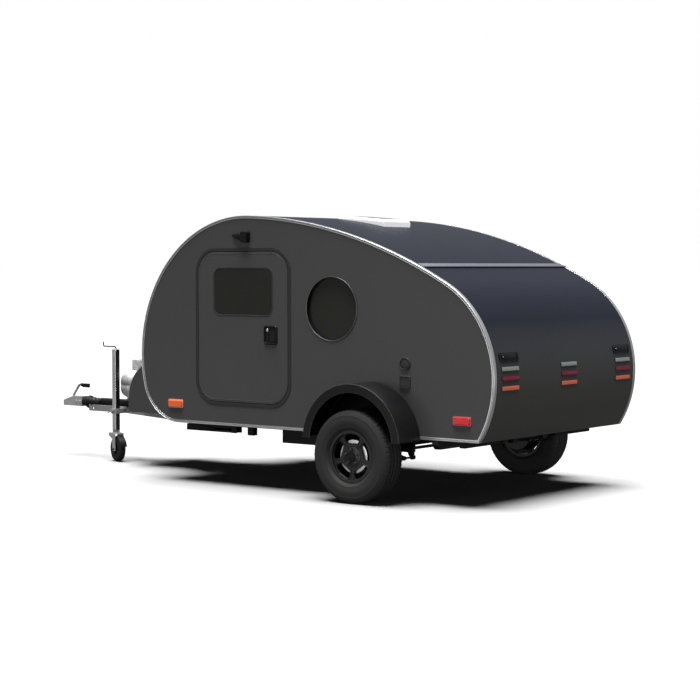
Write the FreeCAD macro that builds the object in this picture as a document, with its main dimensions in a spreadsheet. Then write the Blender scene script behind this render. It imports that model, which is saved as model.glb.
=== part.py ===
"""Teardrop camping trailer: two road wheels, a drawbar with overrun coupling, a jockey wheel.

Millimetres. +X points forward (towards the coupling), +Y left, +Z up. The origin is on the
ground, in the middle of the trailer's length and width. The wheel centres lie at X = axle_x,
and a size called "ahead" or "behind" is measured along X from there. Side pieces are drawn on
the left and mirrored.
"""
import FreeCAD, Part
import math
import os
import Sketcher

# ---------------------------------------------------------------- driving dimensions
# alias, value (mm, or degrees where it says so), what it is
DIMENSIONS = (
    ("axle_x", -1567, "wheel centres, from the origin"),
    # clearances
    ("panel_gap", 5, "between a moving panel and what is round it"),
    ("seat_gap", 0.3, "between moving and fixed faces that nearly touch"),
    ("running_gap", 0.05, "between a pin and the bore that turns on it"),
    ("sliding_gap", 0.1, "between a square tube and what it slides in"),
    # road wheels
    ("wheel_gap", 37.5, "from the body's side to the tyre"),
    ("tyre_radius", 340, "also the height of the wheel centres"),
    ("tyre_width", 225, "over the side walls"),
    ("tyre_shoulder", 22, "rounding between tread and side wall"),
    ("tyre_flank", 56, "from the bead up to the widest part of the side wall"),
    ("rim_radius", 178, "bead seat of a fourteen inch rim"),
    ("rim_lip", 14, "height of the rim's lips over the bead seat"),
    ("rim_width", 178, "between the outsides of the lips"),
    ("rim_wall", 8, "barrel and lips of the rim"),
    ("cap_thickness", 6, "cap in the middle of the disc"),
    ("disc_thickness", 26, "wheel disc"),
    ("disc_inset", 22, "disc's outer face, inside the outer lip"),
    ("hub_radius", 100, "middle of the wheel disc"),
    ("spoke_count", 5, "windows in the wheel disc"),
    ("spoke_edge", 6, "disc left between its windows and the barrel"),
    ("spoke_hub_edge", 3, "disc left between its windows and the hub"),
    ("spoke_window", 54, "degrees, one window of the wheel disc"),
    ("spoke_corner", 16, "rounded corners of these windows"),
    ("spindle_radius", 20, "stub axle"),
    ("drum_radius", 128, "brake drum"),
    ("drum_width", 92, "brake drum"),
    # body outline, from the front of the flat bottom round to its rear
    ("body_over_wheel", 134, "lower edge of the body, over the wheel centres"),
    ("body_width", 2010, "over the edge trims"),
    ("toe_ahead", 1905, "where the flat bottom turns up at the front"),
    ("toe_radius", 380, "lower front"),
    ("toe_turn", 77.7, "degrees"),
    ("front_radius", 1093, "upper front"),
    ("front_turn", 104.4, "degrees"),
    ("roof_radius", 4150, "roof"),
    ("roof_turn", 26.5, "degrees"),
    ("rear_radius", 785, "rear"),
    # shell
    ("wall", 30, "sandwich panel of walls, roof, hatch and doors"),
    ("trim_thickness", 3, "edge trim over the panels' edges"),
    ("trim_face", 22, "edge trim on the side walls"),
    ("floor_thickness", 40, "floor panel"),
    ("nose_seam_over_bottom", 426, "joint between roof panel and nose panel"),
    # rear hatch
    ("hinge_before_rear", 210, "hatch hinge, ahead of the rear end of the roof's arc"),
    ("hinge_radius", 6.5, "hinge barrel"),
    ("hinge_lift", 7, "centre of the barrel, over the roof's surface"),
    ("hinge_strip", 62, "width of the hinge extrusion on the roof"),
    ("hinge_strip_thickness", 5, "hinge extrusion on the roof"),
    ("lamp_offset", 800, "outer lamps, from the middle"),
    ("lamp_width", 224, "tail lamp"),
    ("lamp_height", 35, "tail lamp"),
    ("lamp_depth", 8, "tail lamp, proud of the hatch"),
    ("latch_over_bottom", 604, "hatch latches, over the body's lower edge"),
    ("latch_width", 250, "hatch latch"),
    ("latch_height", 56, "hatch latch"),
    ("latch_depth", 16, "hatch latch, proud of the hatch"),
    # galley
    ("bulkhead_before_hinge", 205, "cabin face of the galley bulkhead, ahead of the hinge"),
    ("board", 18, "plywood of bulkhead, counter and uprights"),
    ("counter_over_bottom", 536, "top of the galley counter, over the body's lower edge"),
    ("counter_depth", 560, "counter, rearwards from the bulkhead"),
    ("upright_setback", 22, "uprights, in from the counter's rear edge"),
    # doors
    ("door_ahead", 748, "rear edge of the door frame"),
    ("door_over_bottom", 158, "lower edge of the door frame, over the body's lower edge"),
    ("door_width", 964, "over the door frame"),
    ("door_height", 1220, "over the door frame"),
    ("door_corner", 196, "outer corners of the door frame"),
    ("door_flange", 26, "visible band of the door frame"),
    ("door_sleeve", 12, "overlap of that band on the wall"),
    ("flange_proud", 4, "flanges of door frame and round window, over the wall"),
    ("door_hinge_height", 80, "knuckle of a door hinge"),
    ("pane_behind_front", 193, "front edge of the door window, from the frame's front edge"),
    ("pane_under_top", 155, "upper edge of the door window, under the frame's upper edge"),
    ("pane_width", 591, "door window"),
    ("pane_height", 366, "door window"),
    ("pane_corner", 62, "corners of the door window"),
    ("glass", 6, "thickness of all panes"),
    ("handle_before_rear", 129, "rear edge of the handle plate, from the frame's rear edge"),
    ("handle_over_low", 482, "lower edge of the handle plate, over the frame's lower edge"),
    ("handle_width", 134, "handle plate"),
    ("handle_height", 147, "handle plate"),
    ("handle_depth", 12, "handle plate, proud of the leaf"),
    # round window and side fittings
    ("port_ahead", 360, "centre of the round window"),
    ("port_over_bottom", 923, "centre of the round window, over the body's lower edge"),
    ("port_radius", 242, "outside of the rim of the round window"),
    ("port_flange", 10, "visible band of that rim"),
    ("port_sleeve", 4, "overlap of that band on the wall"),
    ("port_pane_set_back", 24, "pane's outer face, behind the wall's"),
    ("porch_ahead", 1154, "rear end of the porch light"),
    ("porch_over_door", 38, "lower edge of the porch light, over the door frame"),
    ("porch_length", 176, "porch light"),
    ("porch_height", 84, "porch light"),
    ("porch_depth", 46, "porch light"),
    ("marker_length", 157, "side marker lamp"),
    ("marker_height", 66, "side marker lamp"),
    ("marker_depth", 18, "side marker lamp"),
    ("marker_over_bottom", 116, "side marker lamps, over the body's lower edge"),
    ("inlet_behind", 312, "centre of the two service inlets"),
    ("power_inlet_over_bottom", 536, "centre of the round mains inlet"),
    ("power_inlet_radius", 48, "round mains inlet"),
    ("water_inlet_over_bottom", 404, "centre of the square water inlet"),
    ("water_inlet_size", 98, "square water inlet"),
    ("inlet_depth", 12, "inlets, proud of the wall"),
    # fenders
    ("fender_beyond_track", 113, "outer face of the fenders, from the tyres' centre plane"),
    ("fender_radius", 438, "outside of the arch"),
    ("fender_over_wheel", 90, "centre of the arch, over the wheel centres"),
    ("fender_behind", 12, "centre of the arch"),
    ("fender_under_bottom", 10, "lower ends of the arch, under the body's lower edge"),
    ("fender_sheet", 4, "sheet thickness"),
    ("fender_lip", 62, "outer band turned down towards the tyre"),
    # roof vent
    ("vent_ahead", 490, "rear end of the vent"),
    ("vent_length", 450, "along the roof"),
    ("vent_width", 356, "across the roof"),
    ("vent_ring", 30, "wall of the vent's frame"),
    ("vent_rise", 16, "frame over the roof at its middle"),
    ("vent_lid_height", 24, "lid"),
    ("vent_shell", 4, "lid's skin"),
    ("vent_tilt", 4.8, "degrees that the vent slopes down to the rear"),
    # chassis
    ("frame_depth", 59, "main rails and drawbar, down from the body's lower edge"),
    ("bar_width", 50, "square section of drawbar and cross members"),
    ("main_rail_out", 520, "outer faces of the main rails, from the middle"),
    ("front_member_ahead", 2050, "rear face of the front cross member"),
    ("rear_member_behind", 560, "rear face of the rear cross member"),
    ("rear_member_depth", 74, "rear cross member, down from the body's lower edge"),
    ("rear_member_chamfer", 34, "its lower corners"),
    ("front_member_reach", 560, "ends of the front cross member, from the middle"),
    ("rear_member_reach", 950, "ends of the rear cross member, from the middle"),
    ("cross_tube_behind", 350, "round cross tube under the main rails"),
    ("cross_tube_radius", 11.5, "round cross tube"),
    ("side_rail_out", 905, "outer faces of the suspension rails, from the middle"),
    ("side_rail_depth", 112, "suspension rails, down from the floor"),
    ("side_rail_ahead", 915, "front end of the suspension rails"),
    ("side_rail_behind", 300, "rear end of the suspension rails"),
    ("arm_thickness", 45, "trailing arm"),
    ("arm_gap", 15, "from suspension rail to arm, and from arm to brake drum"),
    ("arm_half_depth", 55, "trailing arm at the stub axle"),
    ("pivot_ahead", 430, "pivot of the trailing arms"),
    ("pivot_under_bottom", 69, "pivot of the trailing arms, under the body's lower edge"),
    ("pivot_eye", 34, "radius of the arm round its pivot"),
    ("pivot_bolt", 12, "radius of the pivot bolt"),
    ("pivot_bolt_end", 7.5, "of that bolt, beyond the arm"),
    ("tail_behind", 250, "eye for the shock absorber"),
    ("tail_under_wheel", 20, "eye for the shock absorber, under the wheel centres"),
    ("tail_eye", 16, "radius of the arm at that eye"),
    ("shock_radius", 32, "shock absorber"),
    ("shock_pin", 9, "radius of its lower bolt"),
    ("shock_upper_behind", 195, "upper eye of the shock absorber"),
    ("shock_upper_under_bottom", 34, "upper eye of the shock absorber, under the body's lower edge"),
    # corner steadies
    ("steady_length", 530, "leg"),
    ("steady_section", 50, "square leg"),
    ("steady_pin", 6, "radius of the pivot pin"),
    ("steady_plate", 8, "plate and ears of the bracket"),
    ("steady_ear_gap", 1, "between an ear and the leg"),
    ("steady_nut_far", 190, "far end of the spindle's housing, from the pivot"),
    ("steady_nut_near", 130, "near end of the spindle's housing, from the pivot"),
    ("steady_nut_drop", 10, "underside of that housing, under the leg's"),
    # drawbar
    ("tip_ahead", 3640, "where the outer faces of the drawbar would meet"),
    ("drawbar_angle", 18.96, "degrees, half of the drawbar's angle"),
    ("crossbar_before_locker", 22, "bar under the overrun tube, ahead of the locker"),
    ("bracket_behind_tip", 60, "rear end of the coupling bracket, where the drawbar ends"),
    ("bracket_length", 320, "coupling bracket"),
    ("bracket_width", 76, "coupling bracket"),
    ("bracket_depth", 55, "coupling bracket"),
    ("bracket_sheet", 8, "coupling bracket"),
    ("cable_hole_from_front", 55, "hole for the breakaway cable, from the bracket's front end"),
    ("cable_hole_over_low", 24, "hole for the breakaway cable, over the bracket's lower edge"),
    ("cable_hole_radius", 8, "hole for the breakaway cable"),
    # overrun coupling
    ("draw_radius", 31.5, "overrun tube"),
    ("draw_beyond_tip", 135, "front end of the overrun tube, ahead of the drawbar's tip"),
    ("stub_behind_bottle", 80, "cross tube under the tray, behind the bottle's axis"),
    ("stub_reach", 105, "its ends, from the middle"),
    ("bellows_drop", 12, "centre of the bellows under the overrun tube's"),
    ("bellows_length", 215, "from the overrun tube to the coupling head"),
    ("head_length", 233, "coupling head"),
    ("head_nose", 120, "length of the sloping nose"),
    ("head_nose_height", 48, "front face of the coupling head"),
    ("head_width", 86, "coupling head"),
    ("head_drop", 51.5, "underside of the coupling head, under the overrun tube's centre"),
    ("head_height", 88, "coupling head"),
    ("ball_radius", 25.2, "socket for a fifty millimetre towing ball"),
    ("ball_depth", 56, "depth of the ball socket"),
    ("ball_behind_front", 45, "ball centre, behind the front of the coupling head"),
    ("lever_width", 26, "coupling lever"),
    # jockey wheel
    ("jack_behind_tip", 244, "jockey wheel tube, behind the drawbar's tip"),
    ("jack_offset", 200, "jockey wheel tube, from the middle"),
    ("jack_size", 50, "square outer tube"),
    ("jack_wall", 3, "outer tube"),
    ("jack_over_fork", 26, "lower end of the outer tube, over the fork"),
    ("jack_length", 704, "outer tube"),
    ("leg_length", 560, "inner leg inside the outer tube"),
    ("clamp_wall", 8, "clamp round the outer tube"),
    ("clamp_height", 42, "clamp"),
    ("clamp_pad_ahead", 60, "plate of the clamp on the drawbar, ahead of the tube"),
    ("clamp_pad_behind", 130, "plate of the clamp on the drawbar, behind the tube"),
    ("jockey_radius", 110, "jockey wheel"),
    ("jockey_width", 62, "jockey wheel"),
    ("jockey_shoulder", 16, "rounding of its tyre"),
    ("jockey_trail", 34, "its axle from the leg's axis"),
    ("jockey_turn", 20, "degrees that the fork is turned at rest"),
    ("fork_sheet", 6, "fork plates"),
    ("fork_gap", 6, "between the fork plates and the wheel"),
    ("fork_over_wheel", 30, "top of the fork over the wheel"),
    ("fork_head_half", 62, "half length of the fork's top"),
    ("fork_foot_half", 27, "half length of the fork plates at the wheel's axle"),
    ("fork_skirt", 26, "depth of the fork's wide top"),
    ("fork_shoulder", 30, "slope between the fork's top and its plates"),
    ("swivel_pin", 10, "radius of the fork's swivel pin"),
    ("swivel_depth", 38, "swivel pin inside the leg"),
    ("jockey_pin", 8, "axle of the jockey wheel"),
    ("crank_radius", 6, "crank rod"),
    ("crank_rise", 26, "crank arm over the tube"),
    ("crank_reach", 151, "crank arm"),
    ("crank_grip", 38, "upright end of the crank"),
    # front locker
    ("locker_half", 400, "outer faces of the locker, from the middle"),
    ("locker_front", 3048, "front of the locker"),
    ("locker_rear", 2110, "lower rear edge of the locker"),
    ("locker_height", 445, "locker"),
    ("locker_radius", 330, "front upper edge of the locker"),
    ("locker_sheet", 4, "sheet of the locker and its lid"),
    ("locker_split", 175, "lower edge of the locker's lid, over its underside"),
    ("locker_rim", 26, "fixed rim at each side of the lid"),
    ("locker_hinge_ahead", 2345, "hinge of the locker's lid"),
    ("locker_hinge_width", 90, "leaf of a hinge of the locker's lid"),
    ("locker_hinge_offset", 280, "hinges of the locker's lid, from the middle"),
    # gas bottle
    ("bottle_behind_tip", 318, "axis of the gas bottle, behind the drawbar's tip"),
    ("bottle_radius", 152, "gas bottle"),
    ("tray_radius", 120, "tray under the gas bottle"),
    ("tray_thickness", 5, "tray under the gas bottle"),
    ("tray_seat", 96, "foot ring of the gas bottle"),
    ("bottle_side", 67, "straight side of the gas bottle"),
    ("bottle_crown", 100, "height of its domed top and bottom"),
    ("bottle_knuckle", 80, "radius between its side and its domes"),
    ("collar_radius", 50, "guard round the bottle's valve"),
    ("collar_height", 86, "guard over the bottle's top"),
)

doc = FreeCAD.newDocument("teardrop_trailer")
sheet = doc.addObject("Spreadsheet::Sheet", "size")
for row, (alias, value, meaning) in enumerate(DIMENSIONS, start=1):
    sheet.set("A%d" % row, alias)
    sheet.set("B%d" % row, str(value))
    sheet.set("C%d" % row, meaning)
    sheet.setAlias("B%d" % row, alias)
doc.recompute()


class Sizes:
    """size.alias in Python is the same cell as size.alias in an expression."""

    def __getattr__(self, alias):
        return float(sheet.get(alias))


size = Sizes()
V = FreeCAD.Vector
pieces = []


def ahead(distance):
    """X of a place given forward from the wheel centres."""
    return size.axle_x + distance


# ---------------------------------------------------------------- modelling helpers
def piece(made, label):
    """Mark an object as a piece of the trailer: its label names its file."""
    made.Label = label
    pieces.append(made)
    return made


def put(made, path, value):
    """Text is an expression on the sheet; a number is a place worked out from it."""
    if isinstance(value, str):
        made.setExpression(path, value)
    else:
        made.setExpression(path, repr(float(value)))


def body(name):
    return doc.addObject("PartDesign::Body", name)


def origin_feature(owner, role):
    return [item for item in owner.Origin.OriginFeatures if item.Role == role][0]


def sketch(owner, plane, at="0"):
    """Sketch on one of the body's origin planes, shifted along the world axis to `at`."""
    made = owner.newObject("Sketcher::SketchObject", owner.Name + "_sketch")
    made.AttachmentSupport = [(origin_feature(owner, plane), "")]
    made.MapMode = "FlatFace"
    if not isinstance(at, str):
        at = repr(float(at))
    # the XZ plane of a body looks towards -Y
    sign = "-" if plane == "XZ_Plane" else ""
    made.setExpression("AttachmentOffset.Base.z", "%s(%s)" % (sign, at))
    return made


def draw(made, edges):
    made.addGeometry(edges, False)


def polygon(points):
    """Closed run of straight lines through (u, v) points."""
    corners = [V(u, v, 0) for u, v in points]
    return [Part.LineSegment(a, b) for a, b in zip(corners, corners[1:] + corners[:1])]


def arc(u, v, radius, start, end):
    """Arc about (u, v), counter-clockwise between two angles in degrees."""
    circle = Part.Circle(V(u, v, 0), V(0, 0, 1), radius)
    return Part.ArcOfCircle(circle, math.radians(start), math.radians(end))


def chain(arcs, closed=True):
    """The arcs, with straight lines from each one's end to the next one's start."""
    edges = list(arcs)
    following = arcs[1:] + arcs[:1] if closed else arcs[1:]
    for this, after in zip(arcs, following):
        if (this.EndPoint - after.StartPoint).Length > 1e-6:
            edges.append(Part.LineSegment(this.EndPoint, after.StartPoint))
    return edges


def rounded(low_u, low_v, width, height, corner):
    """Rectangle with rounded corners."""
    high_u = low_u + width
    high_v = low_v + height
    return chain([
        arc(high_u - corner, high_v - corner, corner, 0, 90),
        arc(low_u + corner, high_v - corner, corner, 90, 180),
        arc(low_u + corner, low_v + corner, corner, 180, 270),
        arc(high_u - corner, low_v + corner, corner, 270, 360),
    ])


def circle(made, u, v, radius):
    """Circle whose radius stays tied to the sheet by a constraint."""
    index = made.addGeometry(Part.Circle(V(u, v, 0), V(0, 0, 1), 1.0), False)
    tie = made.addConstraint(Sketcher.Constraint("Radius", index, 1.0))
    made.setExpression("Constraints[%d]" % tie, radius)


def pad(owner, profile, length, midplane=False):
    made = owner.newObject("PartDesign::Pad", owner.Name + "_pad")
    made.Profile = profile
    put(made, "Length", length)
    made.Midplane = midplane
    owner.Tip = made
    return made


def pocket(owner, profile, length):
    """Pocket towards the inside of a plane's normal; it must remove something."""
    doc.recompute()
    before = owner.Shape.Volume
    made = owner.newObject("PartDesign::Pocket", owner.Name + "_pocket")
    made.Profile = profile
    put(made, "Length", length)
    made.Reversed = True
    owner.Tip = made
    doc.recompute()
    if not owner.Shape.Volume < before - 1:
        raise RuntimeError("pocket cuts nothing in " + owner.Name)
    return made


def slab(name, plane, at, length, outline, holes=(), midplane=False):
    """Body padded from one closed outline, less any inner outlines."""
    owner = body(name)
    made = sketch(owner, plane, at)
    draw(made, outline)
    for hole in holes:
        draw(made, hole)
    pad(owner, made, length, midplane)
    return owner


def turned(name, plane, outline, axis):
    """Body turned from a half section about the sketch's H_Axis or V_Axis."""
    owner = body(name)
    made = sketch(owner, plane)
    draw(made, outline)
    turn = owner.newObject("PartDesign::Revolution", name + "_revolution")
    turn.Profile = made
    turn.ReferenceAxis = (made, [axis])
    turn.Angle = 360
    owner.Tip = turn
    return owner


def box(name, low, length, width, height):
    """Part::Box from its low corner."""
    made = doc.addObject("Part::Box", name)
    put(made, "Length", length)
    put(made, "Width", width)
    put(made, "Height", height)
    made.Placement.Base = V(*low)
    return made


def cylinder(name, radius, height, start, direction):
    """Part::Cylinder from a point along a direction."""
    made = doc.addObject("Part::Cylinder", name)
    put(made, "Radius", radius)
    put(made, "Height", height)
    made.Placement = FreeCAD.Placement(V(*start), FreeCAD.Rotation(V(0, 0, 1), V(*direction)))
    return made


def join(name, parts):
    made = doc.addObject("Part::MultiFuse", name)
    made.Shapes = parts
    made.Refine = True
    return made


def cut(name, base, tool):
    made = doc.addObject("Part::Cut", name)
    made.Base = base
    made.Tool = tool
    return made


def mirror(name, source):
    """The same piece on the other side of the trailer."""
    made = doc.addObject("Part::Mirroring", name)
    made.Source = source
    made.Normal = V(0, 1, 0)
    return made


def group(name, parts):
    """Several solids that don't touch, as one piece."""
    made = doc.addObject("Part::Compound", name)
    made.Links = parts
    return made


def both_sides(label, left):
    return piece(group(label, [left, mirror(label + "_mirrored", left)]), label)


def left_and_right(left, name):
    """Two pieces: name_left as drawn and name_right mirrored."""
    piece(left, name + "_left")
    piece(mirror(name + "_mirrored", left), name + "_right")


# ---------------------------------------------------------------- main places
body_bottom = size.tyre_radius + size.body_over_wheel
track_half = size.body_width / 2 + size.wheel_gap + size.tyre_width / 2
fender_reach = track_half + size.fender_beyond_track
LOWER_EDGE = "(size.tyre_radius + size.body_over_wheel)"


# ---------------------------------------------------------------- body outline
class Turn:
    """One arc of the outline: centre, radius and the angles between which it runs."""

    def __init__(self, u, v, radius, start, end):
        self.u = u
        self.v = v
        self.radius = radius
        self.start = start
        self.end = end

    def point(self, angle, inset=0.0):
        reach = self.radius - inset
        turn = math.radians(angle)
        return V(self.u + reach * math.cos(turn), self.v + reach * math.sin(turn), 0)

    def after(self, radius, turn):
        """The next arc, tangent to the end of this one."""
        away = math.radians(self.end)
        end = self.point(self.end)
        u = end.x - radius * math.cos(away)
        v = end.y - radius * math.sin(away)
        return Turn(u, v, radius, self.end, self.end + turn)

    def edge(self, inset, start, end):
        return arc(self.u, self.v, self.radius - inset, start, end)

    def height_over(self, u, inset=0.0):
        """Height of an upper arc over a place along the trailer."""
        return self.v + math.sqrt((self.radius - inset) ** 2 - (u - self.u) ** 2)

    def angle_over(self, u):
        return math.degrees(math.acos((u - self.u) / self.radius))

    def degrees_along(self, length):
        return math.degrees(length / self.radius)


toe = Turn(ahead(size.toe_ahead), body_bottom + size.toe_radius,
           size.toe_radius, -90, -90 + size.toe_turn)
front = toe.after(size.front_radius, size.front_turn)
roof = front.after(size.roof_radius, size.roof_turn)
rear = roof.after(size.rear_radius, 90)


def rear_angle(height, inset=0.0):
    """Angle on the rear arc at a height above ground."""
    return 180 - math.degrees(math.asin((height - rear.v) / (rear.radius - inset)))


def outline(inset):
    """Closed side outline of the body, moved inwards all round (outwards if negative)."""
    last = rear_angle(body_bottom + inset, inset)
    return chain([
        toe.edge(inset, toe.start, toe.end),
        front.edge(inset, front.start, front.end),
        roof.edge(inset, roof.start, roof.end),
        rear.edge(inset, rear.start, last),
    ])


def skin(stretches, thickness):
    """Closed section of a curved panel: its arcs outside, and again one wall further in."""
    outer = [turn.edge(0, start, end) for turn, start, end in stretches]
    inner = [turn.edge(thickness, start, end) for turn, start, end in stretches]
    first, begin, _ = stretches[0]
    last, _, finish = stretches[-1]
    ends = [
        Part.LineSegment(first.point(begin), first.point(begin, thickness)),
        Part.LineSegment(last.point(finish), last.point(finish, thickness)),
    ]
    return outer + inner + ends


# places that several pieces share
hinge_x = roof.point(roof.end).x + size.hinge_before_rear
hinge_angle = roof.angle_over(hinge_x)
half_gap_angle = roof.degrees_along(size.panel_gap / 2)
floor_top = body_bottom + size.floor_thickness
frame_bottom = body_bottom - size.frame_depth
frame_top = frame_bottom + size.bar_width
draw_z = frame_top + size.seat_gap + size.draw_radius
tip_x = ahead(size.tip_ahead)
bracket_x = tip_x - size.bracket_behind_tip
bracket_front_x = bracket_x + size.bracket_length
locker_x = ahead(size.locker_front)
bottle_x = tip_x - size.bottle_behind_tip
# planes and widths that several pieces share
WALL_FACE = "(size.body_width / 2 - size.trim_thickness)"
LEAF_FACE = "(size.body_width / 2 - size.trim_thickness + size.flange_proud)"
INSIDE_WIDTH = "(size.body_width - 2 * size.trim_thickness - 2 * size.wall)"
wall_face = size.body_width / 2 - size.trim_thickness
leaf_face = wall_face + size.flange_proud
inside_half = wall_face - size.wall

# ---------------------------------------------------------------- side walls and edge trim


door_x = ahead(size.door_ahead)
door_low = body_bottom + size.door_over_bottom
door_top = door_low + size.door_height


def door_outline(inset):
    """The door's rounded rectangle, moved inwards all round."""
    return rounded(door_x + inset, door_low + inset,
                   size.door_width - 2 * inset, size.door_height - 2 * inset,
                   size.door_corner - inset)


side_panel = body("side_panel")
side_sketch = sketch(side_panel, "XZ_Plane", WALL_FACE)
draw(side_sketch, outline(size.trim_thickness))
draw(side_sketch, door_outline(size.door_sleeve))
port_z = body_bottom + size.port_over_bottom
circle(side_sketch, ahead(size.port_ahead), port_z,
       "size.port_radius - size.port_sleeve")
pad(side_panel, side_sketch, "size.wall")
left_and_right(side_panel, "side_panel")

# the trim is an angle that wraps the panels' edges, one closed ring per side
trim_flat = slab("trim_flat", "XZ_Plane", "size.body_width / 2", "size.trim_thickness",
                 outline(0), [outline(size.trim_face)])
trim_edge = slab("trim_edge", "XZ_Plane", WALL_FACE, "size.wall",
                 outline(0), [outline(size.trim_thickness)])
both_sides("edge_trims", join("edge_trim", [trim_flat, trim_edge]))

# ---------------------------------------------------------------- roof, nose, floor
nose_seam = body_bottom + size.nose_seam_over_bottom
nose_angle = math.degrees(math.asin((nose_seam - front.v) / front.radius))

roof_panel = body("roof_panel")
roof_sketch = sketch(roof_panel, "XZ_Plane")
draw(roof_sketch, skin([(front, nose_angle, front.end),
                        (roof, roof.start, hinge_angle - half_gap_angle)], size.wall))
pad(roof_panel, roof_sketch, INSIDE_WIDTH, midplane=True)
vent_throat_half = size.vent_width / 2 - size.vent_ring
vent_sketch = sketch(roof_panel, "XY_Plane", LOWER_EDGE)
draw(vent_sketch, polygon([
    (ahead(size.vent_ahead + size.vent_ring), -vent_throat_half),
    (ahead(size.vent_ahead + size.vent_length - size.vent_ring), -vent_throat_half),
    (ahead(size.vent_ahead + size.vent_length - size.vent_ring), vent_throat_half),
    (ahead(size.vent_ahead + size.vent_ring), vent_throat_half),
]))
pocket(roof_panel, vent_sketch, "size.roof_radius")
piece(roof_panel, "roof_panel")

nose_panel = slab("nose_panel", "XZ_Plane", 0, INSIDE_WIDTH,
                  skin([(toe, toe.start, toe.end), (front, front.start, nose_angle)], size.wall),
                  midplane=True)
piece(nose_panel, "nose_panel")

hatch_foot = rear.point(rear_angle(body_bottom, size.wall), size.wall).x
floor_rear = hatch_foot + size.panel_gap
floor_panel = slab("floor_panel", "XZ_Plane", 0, INSIDE_WIDTH, polygon([
    (floor_rear, body_bottom), (ahead(size.toe_ahead), body_bottom),
    (ahead(size.toe_ahead), floor_top), (floor_rear, floor_top),
]), midplane=True)
piece(floor_panel, "floor_panel")

# ---------------------------------------------------------------- galley
bulkhead_front = hinge_x + size.bulkhead_before_hinge
bulkhead_rear = bulkhead_front - size.board
bulkhead_top = roof.height_over(bulkhead_rear, size.wall)
bulkhead = slab("bulkhead", "XZ_Plane", 0, INSIDE_WIDTH, polygon([
    (bulkhead_rear, floor_top), (bulkhead_front, floor_top),
    (bulkhead_front, bulkhead_top), (bulkhead_rear, bulkhead_top),
]), midplane=True)
piece(bulkhead, "galley_bulkhead")

# the counter is a cabinet open to the rear: a top on three uprights
counter_rear = bulkhead_rear - size.counter_depth
counter_z = body_bottom + size.counter_over_bottom
counter_top = box("counter_top",
                  (counter_rear, -inside_half, counter_z - size.board),
                  "size.counter_depth", INSIDE_WIDTH, "size.board")
UPRIGHTS = (
    ("right", -inside_half),
    ("middle", -size.board / 2),
    ("left", inside_half - size.board),
)
counter_parts = [counter_top]
for name, low_y in UPRIGHTS:
    counter_parts.append(box(
        "upright_" + name, (counter_rear + size.upright_setback, low_y, floor_top),
        "size.counter_depth - size.upright_setback", "size.board",
        "size.counter_over_bottom - size.board - size.floor_thickness"))
piece(join("counter", counter_parts), "galley_counter")

# ---------------------------------------------------------------- rear hatch
hatch = slab("hatch", "XZ_Plane", 0, INSIDE_WIDTH + " - 2 * size.panel_gap",
             skin([(roof, hinge_angle + half_gap_angle, roof.end),
                   (rear, rear.start, rear_angle(body_bottom))], size.wall),
             midplane=True)
piece(hatch, "rear_hatch")

# hinge extrusion: a strip on the roof that ends in a barrel over the joint
strip_angle = hinge_angle - roof.degrees_along(size.hinge_strip)
hinge_strip = slab("hinge_strip", "XZ_Plane", 0, INSIDE_WIDTH,
                   skin([(roof, strip_angle, hinge_angle - half_gap_angle)],
                        -size.hinge_strip_thickness), midplane=True)
hinge_centre = roof.point(hinge_angle, -size.hinge_lift)
hinge_barrel = cylinder("hinge_barrel", "size.hinge_radius", INSIDE_WIDTH,
                        (hinge_centre.x, -inside_half, hinge_centre.y), (0, 1, 0))
piece(join("hinge", [hinge_strip, hinge_barrel]), "hatch_hinge")

# what is fixed on the hatch is a block with its back cut to the hatch's curve
hatch_curve = cylinder("hatch_curve", "size.rear_radius", INSIDE_WIDTH,
                       (rear.u, -inside_half, rear.v), (0, 1, 0))


def on_hatch(name, offset, height, width, tall, depth):
    """Block on the hatch, centred at an offset from the middle and a height above ground."""
    angle = rear_angle(height)
    foot = rear.point(angle)
    sag = rear.radius - math.sqrt(rear.radius ** 2 - (tall / 2) ** 2)
    turn = FreeCAD.Rotation(V(0, 1, 0), 180 - angle)
    corner = turn.multVec(V(-depth, -width / 2, -tall / 2))
    blank = doc.addObject("Part::Box", name + "_blank")
    put(blank, "Length", depth + sag)
    put(blank, "Width", width)
    put(blank, "Height", tall)
    blank.Placement = FreeCAD.Placement(V(foot.x, offset, foot.y) + corner, turn)
    return cut(name, blank, hatch_curve)


# row of lamps, its centre over the body's lower edge
LAMP_ROWS = (
    ("reversing", 519),
    ("tail", 453),
    ("turn", 383),
)
lamps = []
for row, height in LAMP_ROWS:
    for column, offset in (("left", size.lamp_offset), ("middle", 0.0),
                           ("right", -size.lamp_offset)):
        lamps.append(on_hatch("lamp_%s_%s" % (row, column), offset,
                              body_bottom + height,
                              size.lamp_width, size.lamp_height, size.lamp_depth))
piece(group("lamps", lamps), "tail_lamps")
latches = []
for column, offset in (("left", size.lamp_offset), ("right", -size.lamp_offset)):
    latches.append(on_hatch("latch_" + column, offset,
                            body_bottom + size.latch_over_bottom,
                            size.latch_width, size.latch_height, size.latch_depth))
piece(group("latches", latches), "hatch_latches")

# ---------------------------------------------------------------- doors
frame_flange = slab("frame_flange", "XZ_Plane", LEAF_FACE, "size.flange_proud",
                    door_outline(0), [door_outline(size.door_flange)])
frame_sleeve = slab("frame_sleeve", "XZ_Plane", WALL_FACE, "size.wall",
                    door_outline(size.door_sleeve), [door_outline(size.door_flange)])
# the leaf hangs on two knuckles in the gap at its front edge
leaf_inset = size.door_flange + size.panel_gap
leaf_front = door_x + size.door_width - leaf_inset
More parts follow.
